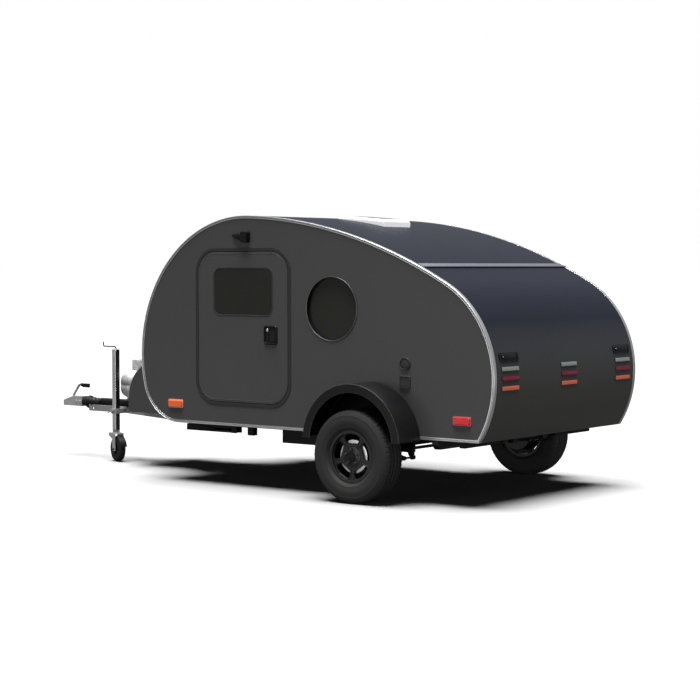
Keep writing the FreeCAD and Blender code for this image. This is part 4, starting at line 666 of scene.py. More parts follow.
# from the block forwards: distance, lowest, highest, depth
stations = ((PORCH_BLOCK - 0.004, 0.01, 0.076, porch_deep - 0.004),
    (PORCH_BLOCK + 0.03, 0.02, 0.074, porch_deep - 0.008),
    (PORCH_BLOCK + 0.075, 0.034, 0.07, 0.026), (porch_box.size.x - 0.002, 0.048, 0.064, 0.01))
blocks, covers, lenses = Shape(), Shape(), Shape()
for name, side in SIDES:
    porch = on_side(side, porch_box.low.x, porch_box.low.z)
    blocks.prism(rounded_outline(PORCH_BLOCK, porch_box.size.z, BLOCK_CORNER,
        centre=(PORCH_BLOCK / 2, porch_box.size.z / 2)), 0.0, porch_deep, porch)
    covers.skin([[(u, low, 0.0), (u, high, 0.0), (u, high, deep * 0.7),
        (u, high - 0.25 * (high - low), deep), (u, low + 0.3 * (high - low), deep),
        (u, low, deep * 0.6)] for u, low, high, deep in stations], porch)
    lenses.skin([[(u, low - 0.003, 0.002), (u, low + 0.006, 0.002), (u, low + 0.006, deep * 0.6),
        (u, low - 0.003, deep * 0.5)] for u, low, high, deep in stations[:3]], porch)
porch_blocks = blocks.piece("porch_light_blocks", "trailer", black_moulding,
    slot="black_plastic", edge=0.002)
covers.piece("porch_light_covers", "trailer", black_moulding, slot="black_plastic", edge=0.0015)
lenses.piece("porch_light_lenses", "trailer", smoked_lens, slot="lamp_lens", edge=0.001)
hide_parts("porch_lights")


# ---------------------------------------------------------------- side markers
# Moulded acrylic reflectors, amber in front and red behind, each a raised lens with fine
# upright ribs on a paler flange. The lens's rounded edges are painted paler, a painted highlight.
MARKER_FLANGE = 0.006
# lens, its paler depth, flange
MARKER_TONES = {
    "amber": (tint(0.95, 0.14, 0.04), tint(0.98, 0.36, 0.2), tint(0.78, 0.33, 0.2)),
    "red": (tint(0.74, 0.008, 0.018), tint(0.76, 0.05, 0.06), tint(0.42, 0.1, 0.1))}
lens_group, given = start_group("ribbed_lens", Color=tint(0.8, 0.1, 0.03),
    Pale=tint(0.9, 0.5, 0.4), Ribs=90.0)
place = put(lens_group, "TexCoord").outputs["Object"]
turned_place = put(lens_group, "VectorRotate", {"Vector": place, "Angle": 0.785},
    rotation_type="Z_AXIS").outputs[0]
ribs = put(lens_group, "TexWave", {"Vector": turned_place, "Scale": given["Ribs"]},
    bands_direction="X").outputs["Fac"]
cells = put(lens_group, "TexVoronoi", {"Vector": place, "Scale": 220.0}).outputs["Distance"]
bevelled = put(lens_group, "Bevel", {"Radius": 0.0025}, samples=6).outputs[0]
# painted highlight: rounded lens edges blend towards the pale colour
corner = math_node(lens_group, "MULTIPLY", turned_away(lens_group, bevelled), 4.0, clamp=True)
depth = math_node(lens_group, "MULTIPLY_ADD", ribs, 0.1,
    math_node(lens_group, "MULTIPLY", noise(lens_group, place, 14.0, 3.0), 0.1), clamp=True)
end_group(lens_group, mix(lens_group, math_node(lens_group, "MULTIPLY", corner, 0.45),
    mix(lens_group, depth, given["Color"], given["Pale"]), given["Pale"]),
    math_node(lens_group, "MULTIPLY_ADD", cells, 0.15, 0.14),
    bumps(lens_group, 0.35, 0.0005, ribs, bevelled))


def islands(node):
    """The separate solids of a CAD node, each as a list of its points."""
    solid = bmesh.new()
    solid.from_mesh(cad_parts[node].data)
    bmesh.ops.remove_doubles(solid, verts=solid.verts, dist=WELD_DISTANCE)
    found, left = [], set(solid.verts)
    while left:
        reached = [left.pop()]
        for vertex in reached:
            near = [other for edge in vertex.link_edges for other in edge.verts
                if other in left]
            left.difference_update(near)
            reached += near
        found.append([vertex.co.copy() for vertex in reached])
    solid.free()
    return found


def span(points, axis):
    places = [point[axis] for point in points]
    return min(places), max(places)


lights = {tone: (Shape(), Shape()) for tone in MARKER_TONES}
wheel_x = Box("tyre_left").middle.x
marker_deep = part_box("side_markers")[1].y - WALL_FACE
for marker in islands("side_markers"):
    (x1, x2), (z1, z2) = span(marker, 0), span(marker, 2)
    at = on_side(1 if marker[0].y > 0 else -1, (x1 + x2) / 2, (z1 + z2) / 2)
    lens, flange = lights["amber" if x1 > wheel_x else "red"]
    flange.prism(rounded_outline(x2 - x1, z2 - z1, 0.012), 0.0, MARKER_FLANGE, at)
    lens.prism(rounded_outline(x2 - x1 - 0.018, z2 - z1 - 0.016, 0.008),
        MARKER_FLANGE - 0.001, marker_deep, at)
for tone, (colour, pale_colour, flange_colour) in MARKER_TONES.items():
    lights[tone][0].piece("side_marker_" + tone, "trailer",
        grouped_material(tone + "_lens", lens_group, Color=colour, Pale=pale_colour,
            specular=0.3), slot="lamp_lens", edge=0.004)
    lights[tone][1].piece("marker_flange_" + tone, "trailer",
        coated_material(tone + "_flange", flange_colour, Roughness=0.3, Edge_Radius=0.001,
            Grain_Depth=0.0), slot="lamp_lens", edge=0.002)
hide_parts("side_markers")


# ---------------------------------------------------------------- service inlets
# Left wall only: a round mains socket under a turning cap, and a square water filler with a
# hinged flap. Both moulded, screwed on over a gasket.
POWER_RADIUS = 0.048
inlet_material = coated_material("inlet_moulding", tint(0.034, 0.034, 0.035),
    tint(0.034, 0.034, 0.035), specular=0.2, Drift=0.05, Patch_Scale=5.0, Edge_Radius=0.001,
    Edge_Wear=0.1, Roughness=0.5)
inlet_box = Box("service_inlets")
WATER = inlet_box.size.x
power = on_side(1, inlet_box.middle.x, inlet_box.high.z - POWER_RADIUS)
water = on_side(1, inlet_box.middle.x, inlet_box.low.z + WATER / 2)
rims = Shape()
rims.lathe([(0.0, 0.0475), (0.006, 0.0475), (0.0105, 0.0455), (0.0118, 0.042),
    (0.0105, 0.0385), (0.004, 0.0375), (0.0, 0.0375)], power, 72)
rims.prism(rounded_outline(0.024, 0.016, 0.004, centre=(0.0, -0.0385)), 0.0, 0.0115, power)
rims.hoop(rounded_outline(WATER - 0.012, WATER - 0.012, 0.008),
    [(-0.006, 0.0), (0.0055, 0.0), (0.0055, 0.006), (0.002, 0.01), (-0.006, 0.01)], water)
rims.prism(rounded_outline(0.03, 0.008, 0.003, centre=(0.0, -0.041)), 0.0, 0.0115, water)
inlet_rims = rims.piece("inlet_rims", "trailer", inlet_material, slot="black_plastic",
    edge=0.0008)
flaps = Shape()
flaps.lathe([(0.0, 0.0368), (0.0065, 0.0368), (0.0085, 0.034), (0.0095, 0.025),
    (0.01, 0.012), (0.01, 0.0002)], power, 72)
flaps.prism(rounded_outline(0.012, 0.044, 0.005), 0.009, 0.0118, power)
flaps.prism(rounded_outline(WATER - 0.026, WATER - 0.03, 0.006, centre=(0.0, 0.002)),
    0.0, 0.0085, water)
flaps.prism(rounded_outline(0.06, 0.007, 0.003, centre=(0.0, 0.041)), 0.0, 0.0115, water)
flaps.piece("inlet_flaps", "trailer", inlet_material, slot="black_plastic", edge=0.0012)
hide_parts("service_inlets")


# ---------------------------------------------------------------- door handles
# Flush paddle handle: a black moulded surround, a dark recess, a black paddle to pull and a
# bright key lock above it, screwed through the leaf.
paddle_material = coated_material("paddle_black", tint(0.008, 0.008, 0.009), tint(0.012),
    specular=0.2, Drift=0.06, Edge_Radius=0.0015, Edge_Wear=0.3, Roughness=0.38)
for name, side in SIDES:
    box = Box("door_handle_" + name)
    deep = (box.high.y if side > 0 else -box.low.y) - WALL_FACE - LEAF_PROUD
    handle = on_side(side, box.middle.x, box.middle.z, LEAF_PROUD)
    surround_ring = Shape().hoop(rounded_outline(box.size.x - 0.018, box.size.z - 0.018, 0.014),
        [(-0.009, 0.0), (0.0088, 0.0), (0.0088, deep * 0.45), (0.003, deep), (-0.003, deep),
        (-0.009, deep * 0.5)], handle)
    surround_ring.prism(rounded_outline(box.size.x - 0.03, box.size.z - 0.03, 0.01), 0.0,
        deep * 0.18, handle)
    ring = surround_ring.piece("handle_surround_" + name, "door_" + name, black_moulding,
        slot="black_plastic", edge=0.0012, smooth=50)
    foot = rounded_outline(0.058, 0.082, 0.01, centre=(-0.018, -0.01))
    crown = rounded_outline(0.05, 0.07, 0.01, centre=(-0.018, -0.012))
    paddle = Shape().skin([raised(foot, 0.0), raised(foot, deep * 0.55),
        raised(crown, deep * 0.8), raised(crown, deep * 0.82)], handle)
    paddle.prism(rounded_outline(0.014, 0.06, 0.004, centre=(0.022, -0.012)), 0.0, deep * 0.9,
        handle)
    paddle.piece("handle_paddle_" + name, "door_" + name, paddle_material,
        slot="black_plastic", edge=0.002)
    at = handle @ Matrix.Translation((0.027, 0.04, 0.0))
    lock = Shape().lathe([(0.0, 0.0125), (deep * 0.75, 0.0125), (deep * 0.92, 0.0105),
        (deep * 0.92, 0.007), (deep * 0.8, 0.006), (deep * 0.8, 0.0001)], at, 32)
    lock.prism(rounded_outline(0.0022, 0.009, 0.001), deep * 0.78, deep * 0.86, at)
    lock.piece("handle_lock_" + name, "door_" + name, stainless, slot="trim_aluminium",
        edge=0.0004)
    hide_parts("door_handle_" + name)


# ---------------------------------------------------------------- fenders
# One-piece black mouldings bolted to the side walls from inside, with a rolled bead inside
# the lip; their pale edge colour is a painted glint. A near-black sheet on the wall behind
# the tyre is painted shade inside the arch.
FENDER_BAND = 0.062
LIP_RADIUS = 0.004
SHADE_SHEET_GAP = 0.012
SHADE_SHEET_THICK = 0.0015
# the pale edge colour on this near-black moulding paints a glint along its edges
fender_material = coated_material("fender_moulding", tint(0.0072, 0.0066, 0.0072), tint(0.62),
    specular=0.15, Drift=0.07, Patch_Scale=2.2, Grain_Scale=420.0, Grain_Depth=0.00012,
    Edge_Radius=0.0032, Edge_Wear=1.0, Roughness=0.36, Dust=0.05, Dust_Height=0.75)
dress(fender_material, "fender_left", "fender_right")
soften(0.0022, "fender_left", "fender_right")
# a near-black sheet set in the wheel arch as painted shade
arch_painted_shade = coated_material("arch_painted_shade", tint(0.0035), tint(0.006), specular=0.06,
    Drift=0.08, Patch_Scale=5.0, Grain_Scale=420.0, Grain_Depth=0.0002, Roughness=0.7)
roll = [(out, up - 0.0042) for out, up in circle(LIP_RADIUS, 10)]
for name, side in SIDES:
    box = Box("fender_" + name)
    radius = box.size.x / 2
    centre_z = box.high.z - radius
    outer_face = box.high.y if side > 0 else -box.low.y
    arch = on_side(side, box.middle.x, centre_z, outer_face - WALL_FACE)
    lip = radius - FENDER_BAND
    start = math.asin(max(-1.0, (box.low.z - centre_z) / lip))
    Shape().hoop(arc(lip, 72, start, math.pi - start), roll, arch, closed=False).piece(
        "fender_bead_" + name, "trailer", fender_material, slot="fender_plastic", smooth=60)
    inner = radius - SHADE_SHEET_GAP
    foot = math.asin((box.low.z + SHADE_SHEET_GAP - centre_z) / inner)
    Shape().prism(arc(inner, 48, foot, math.pi - foot), 0.0, SHADE_SHEET_THICK,
        on_side(side, box.middle.x, centre_z)).piece(
        "arch_painted_shade_" + name, "trailer", arch_painted_shade, slot="black_plastic")


# ---------------------------------------------------------------- tail lamps
# Three stacks of three narrow acrylic lenses on thin black bases, bonded to the hatch:
# clear above, red in the middle, amber-red below.
LAMP_TONES = {
    "clear": (tint(0.185, 0.21, 0.2), tint(0.38, 0.4, 0.4)),
    "red": (tint(0.165, 0.008, 0.026), tint(0.26, 0.03, 0.06)),
    "orange": (tint(0.7, 0.135, 0.075), tint(0.8, 0.33, 0.22))}
LAMP_BASE = 0.004
LAMP_RIBS = 20


def on_hatch(points):
    """Place on the outer face of a box on the hatch, with its width, height and depth."""
    flat = [Vector((point.x, point.z)) for point in points]
    ring = [flat[index] for index in convex_hull_2d(flat)]
    longest = max((ring[index] - ring[index - 1] for index in range(len(ring))),
        key=lambda edge: edge.length)
    up = longest.normalized() * (1 if longest.y > 0 else -1)
    out = Vector((-up.y, up.x))
    if out.x > 0:
        out = -out
    tall = [point.dot(up) for point in flat]
    deep = [point.dot(out) for point in flat]
    y1, y2 = span(points, 1)
    corner = up * (min(tall) + max(tall)) / 2 + out * min(deep)
    place = Matrix(((0, up.x, out.x, corner.x), (-1, 0, 0, (y1 + y2) / 2),
        (0, up.y, out.y, corner.y), (0, 0, 0, 1)))
    return place, y2 - y1, max(tall) - min(tall), max(deep) - min(deep)


def row_height(lamp):
    return round(sum(span(lamp, 2)) / 2, 2)


row_heights = sorted({row_height(lamp) for lamp in islands("tail_lamps")}, reverse=True)
bases = Shape()
lamps = [Shape() for tone in LAMP_TONES]
for lamp in islands("tail_lamps"):
    at, wide, tall, deep = on_hatch(lamp)
    bases.prism(rounded_outline(wide, tall, 0.006), 0.0, deep - 0.006, at)
    lens = lamps[row_heights.index(row_height(lamp))]
    lens.prism(rounded_outline(wide - 0.006, tall - 0.006, 0.005), LAMP_BASE, deep - 0.0015, at)
    pitch = (wide - 0.02) / LAMP_RIBS
    for rib in range(LAMP_RIBS):
        middle = -wide / 2 + 0.01 + pitch * (rib + 0.5)
        lens.skin([[(middle + u * pitch * 0.4, v, w) for u, w in ((-1, deep - 0.002),
            (-0.4, deep - 0.0004), (0.4, deep - 0.0004), (1, deep - 0.002))]
            for v in (-tall / 2 + 0.008, tall / 2 - 0.008)], at)
base_piece = bases.piece("tail_lamp_bases", "rear_hatch", black_moulding, slot="black_plastic",
    edge=0.001)
for (tone, (colour, pale_colour)), lens in zip(LAMP_TONES.items(), lamps):
    lens.piece("tail_lamp_" + tone, "rear_hatch", grouped_material("tail_lens_" + tone,
        lens_group, Color=colour, Pale=pale_colour, Ribs=70.0, specular=0.25),
        slot="lamp_lens", edge=0.001)
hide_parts("tail_lamps")


# ---------------------------------------------------------------- hatch latches
# Black moulded compression latches: a base plate, a lifting paddle and a small bright key
# cylinder, screwed through the hatch.
latch_plates, latch_keys = Shape(), Shape()
for latch in islands("hatch_latches"):
    at, wide, tall, deep = on_hatch(latch)
    foot = rounded_outline(wide * 0.72, tall * 0.66, 0.008, centre=(-0.01, 0.0))
    crown = rounded_outline(wide * 0.64, tall * 0.44, 0.007, centre=(-0.014, 0.003))
    latch_plates.prism(rounded_outline(wide, tall, 0.01), 0.0, deep * 0.45, at)
    latch_plates.skin([raised(foot, deep * 0.4), raised(foot, deep * 0.8),
        raised(crown, deep * 0.98)], at)
    latch_plates.prism(rounded_outline(0.022, tall * 0.8, 0.006, centre=(wide * 0.41, 0.0)),
        deep * 0.4, deep * 0.75, at)
    latch_keys.lathe([(deep * 0.5, 0.0062), (deep * 0.96, 0.0062), (deep, 0.0052),
        (deep, 0.0001)], at @ Matrix.Translation((-wide * 0.36, 0.0, 0.0)), 24)
latch_piece = latch_plates.piece("latch_plates", "rear_hatch", black_moulding,
    slot="black_plastic", edge=0.0015)
latch_keys.piece("latch_keys", "rear_hatch", stainless, slot="trim_aluminium", edge=0.0004)
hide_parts("hatch_latches")


# ---------------------------------------------------------------- roof vent
# A pale grey moulded frame bedded on the roof, and a white vacuum-formed lid that slopes
# down in front, stiffened by two raised ribs. Both mouldings glow with a painted light, and
# the lid's upward faces are painted dark grey without the glow, a painted shade.
TOP_PAINTED_SHADE = tint(0.085, 0.085, 0.088)
PAINTED_GLOW_COLOUR = tint(0.96, 0.98, 1.0)
PAINTED_GLOW_STRENGTH = 0.38
TOP_FACES_UP = 0.92
VENT_SLOPE = math.radians(4.8)
LID_TALL = 0.024
LID_SHELL = 0.003
RIB_APART = 0.15
grey_moulding = coated_material("grey_moulding", tint(0.8, 0.81, 0.84), Drift=0.05,
    Patch_Scale=3.0, Grain_Scale=500.0, Grain_Depth=0.00005, Edge_Radius=0.0015, Edge_Wear=0.3,
    Roughness=0.45)
white_moulding = coated_material("white_moulding", tint(0.84, 0.84, 0.83), tint(0.9),
    Drift=0.03, Patch_Scale=2.5, Grain_Scale=420.0, Grain_Depth=0.00006, Edge_Radius=0.002,
    Edge_Wear=0.2, Roughness=0.38)
for moulding in (grey_moulding, white_moulding):
    # painted glow: the mouldings give off light though they are no lamp
    painted_glow = moulding.node_tree.nodes["Principled BSDF"].inputs
    painted_glow["Emission Color"].default_value = PAINTED_GLOW_COLOUR
    painted_glow["Emission Strength"].default_value = PAINTED_GLOW_STRENGTH
lid_tree = white_moulding.node_tree
# painted shade: upward lid faces are dark grey and without the glow
shaded_lid_top = math_node(lid_tree, "GREATER_THAN", own(lid_tree, "Normal", "Z"), TOP_FACES_UP)
lay_over(white_moulding, shaded_lid_top, TOP_PAINTED_SHADE)
lay_over(white_moulding, shaded_lid_top, tint(0.0), "Emission Color")
dress(grey_moulding, "roof_vent_frame")
soften(0.003, "roof_vent_frame")
lid_box = Box("roof_vent_lid")
lid_long = (lid_box.size.x - LID_TALL * math.sin(VENT_SLOPE)) / math.cos(VENT_SLOPE)
vent = (Matrix.Translation((lid_box.middle.x, 0.0, lid_box.middle.z)) @
    Matrix.Rotation(-VENT_SLOPE, 4, "Y") @ Matrix.Translation((0.0, 0.0, -LID_TALL / 2)))
# height over the lid's foot, move-in at the sides and rear, at the front, corner radius
LID_STATIONS = ((0.0, 0.0, 0.0, 0.02), (0.0105, 0.0005, 0.004, 0.021),
    (0.0125, 0.003, 0.01, 0.022), (0.016, 0.006, 0.03, 0.024),
    (0.02, 0.01, 0.055, 0.026), (0.022, 0.016, 0.075, 0.03),
    (0.0228, 0.03, 0.095, 0.036))


def lid_ring(height, side_in, front_in, corner):
    return raised(rounded_outline(lid_long - side_in - front_in, lid_box.size.y - 2 * side_in,
        corner, 6, centre=((side_in - front_in) / 2, 0.0)), height)


outside = [lid_ring(*station) for station in LID_STATIONS]
within = [lid_ring(max(0.0, height - LID_SHELL), side_in + LID_SHELL, front_in + LID_SHELL,
    corner) for height, side_in, front_in, corner in LID_STATIONS]
lid = Shape()
for rings in (outside, within):
    lid.skin(rings, vent, capped=False)
    lid.faces.append(tuple(range(len(lid.points) - len(rings[0]), len(lid.points))))
lid.skin([outside[0], within[0]], vent, capped=False)
lid_piece = lid.piece("vent_lid_shell", "roof_vent_lid", white_moulding, slot="white_plastic",
    smooth=50)
ribs = Shape()
for side in (-1, 1):
    ribs.skin([[(u, side * RIB_APART / 2 + 0.01 * across, 0.0224 + 0.0014 * up)
        for across, up in ((-1, 0), (-0.5, 1), (0.5, 1), (1, 0))]
        for u in (-lid_long / 2 + 0.05, lid_long / 2 - 0.13)], vent)
ribs.piece("vent_lid_ribs", "roof_vent_lid", white_moulding, slot="white_plastic", smooth=50)
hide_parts("roof_vent_lid")


# ---------------------------------------------------------------- tyres
# Vulcanised rubber road tyres on a fourteen inch rim, moulded with four grooves round the
# tread, slots across its shoulders and two fine ribs on each side wall.
TYRE_STEPS = 720
BLOCK_STEPS = 12
SLOT_STEPS = 2
TREAD_MIDDLE = 0.05
# from the middle of the tread to the bead: offset, radius and, where slots cross, their depth
TYRE_HALF = (
    (0.0, 0.34), (0.015, 0.34), (0.016, 0.332), (0.024, 0.332), (0.025, 0.3398),
    (0.027, 0.3398, 0.004), (0.048, 0.3394, 0.004), (0.05, 0.3393), (0.051, 0.3315),
    (0.059, 0.3312), (0.06, 0.339), (0.0615, 0.3389, 0.004), (0.078, 0.3362, 0.004),
    (0.087, 0.3318, 0.003), (0.0945, 0.325, 0.0015), (0.099, 0.318), (0.1018, 0.312),
    (0.105, 0.306), (0.1065, 0.3015), (0.108, 0.3), (0.1076, 0.2975), (0.1102, 0.282),
    (0.1122, 0.266), (0.1124, 0.254), (0.111, 0.24), (0.1085, 0.228), (0.1062, 0.219),
    (0.1068, 0.2165), (0.105, 0.2145), (0.099, 0.204), (0.089, 0.1945), (0.085, 0.1925),
    (0.08, 0.186), (0.078, 0.1825))
tyre_material = coated_material("tyre_rubber", tint(0.0218, 0.0218, 0.022),
    tint(0.055, 0.054, 0.052), specular=0.3, Drift=0.1, Patch_Scale=4.0, Grain_Scale=380.0,
    Grain_Depth=0.0001, Edge_Radius=0.0015, Edge_Wear=0.2, Roughness=0.72,
    Roughness_Drift=0.12, Dust=0.06, Dust_Height=0.45)
tyre_box = Box("tyre_left")
AXLE_HEIGHT = tyre_box.high.z / 2


def at_wheel(side):
    """Place at a wheel's centre: u forward, v up, w outwards along its axle."""
    return Matrix(((1, 0, 0, wheel_x), (0, 0, side, side * tyre_box.middle.y),
        (0, 1, 0, AXLE_HEIGHT), (0, 0, 0, 1)))


def mirrored(half):
    """A profile given from its middle outwards, completed on the other side."""
    return [(-u, *rest) for u, *rest in reversed(half) if u] + list(half)


for name, side in SIDES:
    rings = []
    for step, (fore, up) in enumerate(circle(1.0, TYRE_STEPS)):
        ring = []
        for u, radius, *slot in mirrored(TYRE_HALF):
            shift = (0 if u < 0 else BLOCK_STEPS // 2) + (3 if abs(u) < TREAD_MIDDLE else 0)
            if slot and (step + shift) % BLOCK_STEPS < SLOT_STEPS:
                radius -= slot[0]
            ring.append((radius * fore, radius * up, u))
        rings.append(ring)
    made = Shape().skin(rings, at_wheel(side), closed=True).piece(
        "road_tyre_" + name, "wheel_" + name, tyre_material, slot="tyre", smooth=32)
    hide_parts("tyre_" + name)


# ---------------------------------------------------------------- rims and brake drums
# Cast alloy wheels painted satin black, machined for five hexagon nuts round a pressed hub
# cap. Behind them black drums with a zinc coated flange turn in fixed black dust shields.
DISC_FACE = 0.067
NUT_CIRCLE = 0.056
VALVE_CIRCLE = 0.158
SPOKES = 5
SPOKE_TURN = math.radians(36)
# along each rib of a spoke: reach, spread from the middle, half width, height
SPOKE_RIB = ((0.078, 0.009, 0.0045, 0.003), (0.105, 0.0105, 0.0042, 0.005),
    (0.135, 0.0142, 0.0046, 0.0045), (0.163, 0.0185, 0.0045, 0.0015))
rim_material = coated_material("rim_paint", tint(0.0065, 0.0065, 0.007), tint(0.085),
    specular=0.38, Drift=0.07, Patch_Scale=6.0, Grain_Scale=700.0, Grain_Depth=0.00005,
    Edge_Radius=0.003, Edge_Wear=0.5, Roughness=0.34, Dust=0.04, Dust_Height=0.6)
drum_material = coated_material("zinc_coated_drum", tint(0.62, 0.62, 0.61), metallic=0.85,
    Drift=0.12, Patch_Scale=14.0, Grain_Scale=260.0, Grain_Depth=0.00012, Edge_Radius=0.002,
    Edge_Wear=0.5, Roughness=0.36, Roughness_Drift=0.25)
nut_material = coated_material("dark_nuts", tint(0.06, 0.06, 0.062), tint(0.3),
    metallic=0.8, Drift=0.08, Patch_Scale=30.0, Grain_Depth=0.00003, Edge_Radius=0.0012,
    Edge_Wear=0.8, Roughness=0.34)
dress(rim_material, "rim_left", "rim_right", "brake_drum_left", "brake_drum_right")
soften(0.0022, "rim_left", "rim_right")
soften(0.0015, "brake_drum_left", "brake_drum_right")
for name, side in SIDES:
    wheel = at_wheel(side)
    disc = wheel @ Matrix.Translation((0.0, 0.0, DISC_FACE))
    face = Shape().lathe([(-0.003, 0.079), (0.003, 0.076), (0.0042, 0.07),
        (0.0042, 0.042), (0.006, 0.0385), (0.006, 0.0345), (-0.003, 0.0345)], disc, 96,
        closed=True)
    face.lathe([(-0.003, 0.1696), (0.003, 0.1696), (0.0016, 0.166), (-0.003, 0.1648)], disc,
        128, closed=True)
    for spoke in range(SPOKES):
        turn = 2 * math.pi * spoke / SPOKES + SPOKE_TURN + math.pi / 2
        for edge in (-1, 1):
            # two ribs per spoke spread towards the barrel
            face.skin([[(reach, edge * (spread + half * part), rise if abs(part) < 1 else -0.002)
                for part in (-1, -0.5, 0.5, 1)] for reach, spread, half, rise in SPOKE_RIB],
                disc @ Matrix.Rotation(turn, 4, "Z"))
    Shape().lathe([(-0.024, 0.08), (-0.024, 0.122), (-0.0215, 0.1235), (-0.019, 0.122),
        (-0.018, 0.112), (-0.018, 0.08)], disc, 96, closed=True).piece(
        "drum_flange_" + name, "wheel_" + name, drum_material, slot="drum_iron", edge=0.0006)
    Shape().lathe([(-0.08, 0.116), (-0.08, 0.16), (-0.077, 0.162), (-0.076, 0.16),
        (-0.076, 0.116)], wheel, 96, closed=True).piece(
        "dust_shield_" + name, "trailer", black_moulding, slot="black_steel")
    face.piece("rim_face_" + name, "wheel_" + name, rim_material, slot="alloy", edge=0.0008)
    Shape().lathe([(-0.002, 0.033), (0.009, 0.033), (0.012, 0.0315), (0.0135, 0.027),
        (0.0125, 0.024), (0.014, 0.015), (0.0145, 0.0002)], disc, 64).piece(
        "hub_cap_" + name, "wheel_" + name, black_moulding, slot="alloy")
    nuts = Shape()
    for u, v in arc(NUT_CIRCLE, SPOKES, math.pi / 2, math.pi * 5 / 2)[:-1]:
        at = disc @ Matrix.Translation((u, v, 0.0035))
        nuts.lathe([(0.0, 0.0125), (0.0028, 0.0118), (0.004, 0.0098)], at, 24)
        nuts.lathe([(0.0, 0.0106), (0.013, 0.0106), (0.015, 0.0088), (0.015, 0.0062),
            (0.012, 0.0058), (0.012, 0.0001)], at, 6)
    nuts.piece("wheel_nuts_" + name, "wheel_" + name, nut_material, slot="drum_iron", edge=0.0005)
    at = disc @ Matrix.Translation((VALVE_CIRCLE * math.cos(SPOKE_TURN),
        VALVE_CIRCLE * math.sin(SPOKE_TURN), 0.0))
    Shape().lathe([(-0.02, 0.0056), (0.004, 0.005), (0.012, 0.0038), (0.022, 0.0036),
        (0.024, 0.003), (0.024, 0.0001)], at, 20).piece(
        "tyre_valve_" + name, "wheel_" + name, black_rubber, slot="rubber")


# ---------------------------------------------------------------- chassis and steadies
# Rectangular steel tube, welded and powder coated black, with black folding legs bolted
# under its corners; road dirt settles on it.
steel = coated_material("black_steel", tint(0.0085, 0.0085, 0.0088), tint(0.035), specular=0.1,
    Drift=0.1, Patch_Scale=5.0, Grain_Scale=520.0, Grain_Depth=0.0001, Edge_Radius=0.0025,
    Edge_Wear=0.5, Roughness=0.5, Dust=0.04, Dust_Height=0.55)
STEEL_NODES = ("main_rails", "suspension_rails", "trailing_arms", "steady_brackets",
    "steady_front_left", "steady_front_right", "steady_rear_left", "steady_rear_right",
    "overrun_tube")
dress(steel, *STEEL_NODES)
soften(0.003, "cross_members", *STEEL_NODES)


# ---------------------------------------------------------------- crossbar and drawbar
# Hot-dip galvanised steel: the two rails that meet at the tip, the crossbar over them and
# the coupling's bracket. The zinc has set in pale and dark spangles.
CROSSBAR_FROM = 1.0
spangled, given = start_group("spangled_zinc", Color=tint(0.36), Dark=tint(0.17, 0.17, 0.175),
    Scale=42.0, Roughness=0.46)
place = put(spangled, "TexCoord").outputs["Object"]
wander = put(spangled, "TexNoise", {"Vector": place, "Scale": 18.0,
    "Detail": 3.0}).outputs["Color"]
flakes = put(spangled, "TexVoronoi", {"Vector": mix(spangled, 0.06, place, wander),
    "Scale": given["Scale"], "Randomness": 1.0}).outputs["Color"]
flake_tone = put(spangled, "SeparateXYZ", {0: flakes}).outputs["X"]
streaks = noise(spangled, place, 7.0, 5.0, 0.65)
blend = math_node(spangled, "MULTIPLY_ADD", flake_tone, 0.45,
    math_node(spangled, "MULTIPLY_ADD", streaks, 1.1, -0.3), clamp=True)
bevelled = put(spangled, "Bevel", {"Radius": 0.002}, samples=6).outputs[0]
end_group(spangled, mix(spangled, blend, given["Color"], given["Dark"]),
    math_node(spangled, "ADD", given["Roughness"],
        math_node(spangled, "MULTIPLY", flake_tone, 0.14)),
    bumps(spangled, 0.5, 0.0003, streaks, bevelled))
zinc = grouped_material("galvanised_steel", spangled, metallic=0.25)
pale_zinc = grouped_material("bright_zinc", spangled, Color=tint(0.56, 0.56, 0.55),
    Dark=tint(0.42), Roughness=0.32, metallic=0.5)
dress(zinc, "drawbar_left", "drawbar_right", "coupling_bracket")
soften(0.004, "drawbar_left", "drawbar_right")
soften(0.002, "coupling_bracket")
# the members under the body are black, the crossbar ahead of it is bare zinc
member_material = coated_material("member_finish", tint(0.0085, 0.0085, 0.0088), tint(0.045),
    specular=0.3, Drift=0.1, Patch_Scale=5.0, Edge_Radius=0.0025, Edge_Wear=0.5,
    Roughness=0.5)
member_tree = member_material.node_tree
ahead = math_node(member_tree, "GREATER_THAN", own(member_tree, "Object", "X"), CROSSBAR_FROM)
lay_over(member_material, ahead, put(member_tree, "Group", node_tree=spangled).outputs["Color"])
dress(member_material, "cross_members")


# ---------------------------------------------------------------- shock absorbers and pivots
# Twin-tube dampers between the trailing arms and the rails: a painted body that slides into
# a wider dust tube, an eye at each end, hexagon bolts through them.
EYE_HALF = 0.019
floor_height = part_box("side_panel_left")[0].z
rail_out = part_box("suspension_rails")[1].y
SHOCK_LOW = Vector((wheel_x - 0.25, 0.0, AXLE_HEIGHT - 0.02))
SHOCK_HIGH = Vector((wheel_x - 0.195, 0.0, floor_height - 0.037))
SHOCK_OUT = rail_out - 0.082
PIVOT = Vector((wheel_x + 0.43, 0.0, floor_height - 0.072))
ARM_OUT = rail_out + 0.06


def along(start, end):
    """Place whose Z axis runs from one point to another, and the distance between them."""
    line = Vector(end) - Vector(start)
    turned = line.to_track_quat("Z", "Y").to_matrix().to_4x4()
    return Matrix.Translation(Vector(start)) @ turned, line.length


def bolt_head(shape, place, across, tall):
    """A hexagon head with its washer, standing on the place's face."""
    shape.lathe([(0.0, across * 0.72), (tall * 0.16, across * 0.7), (tall * 0.18, across * 0.5)],
        place, 24)
    shape.lathe([(0.0, across * 0.577), (tall * 0.85, across * 0.577), (tall, across * 0.5),
        (tall, across * 0.0001)], place, 6)


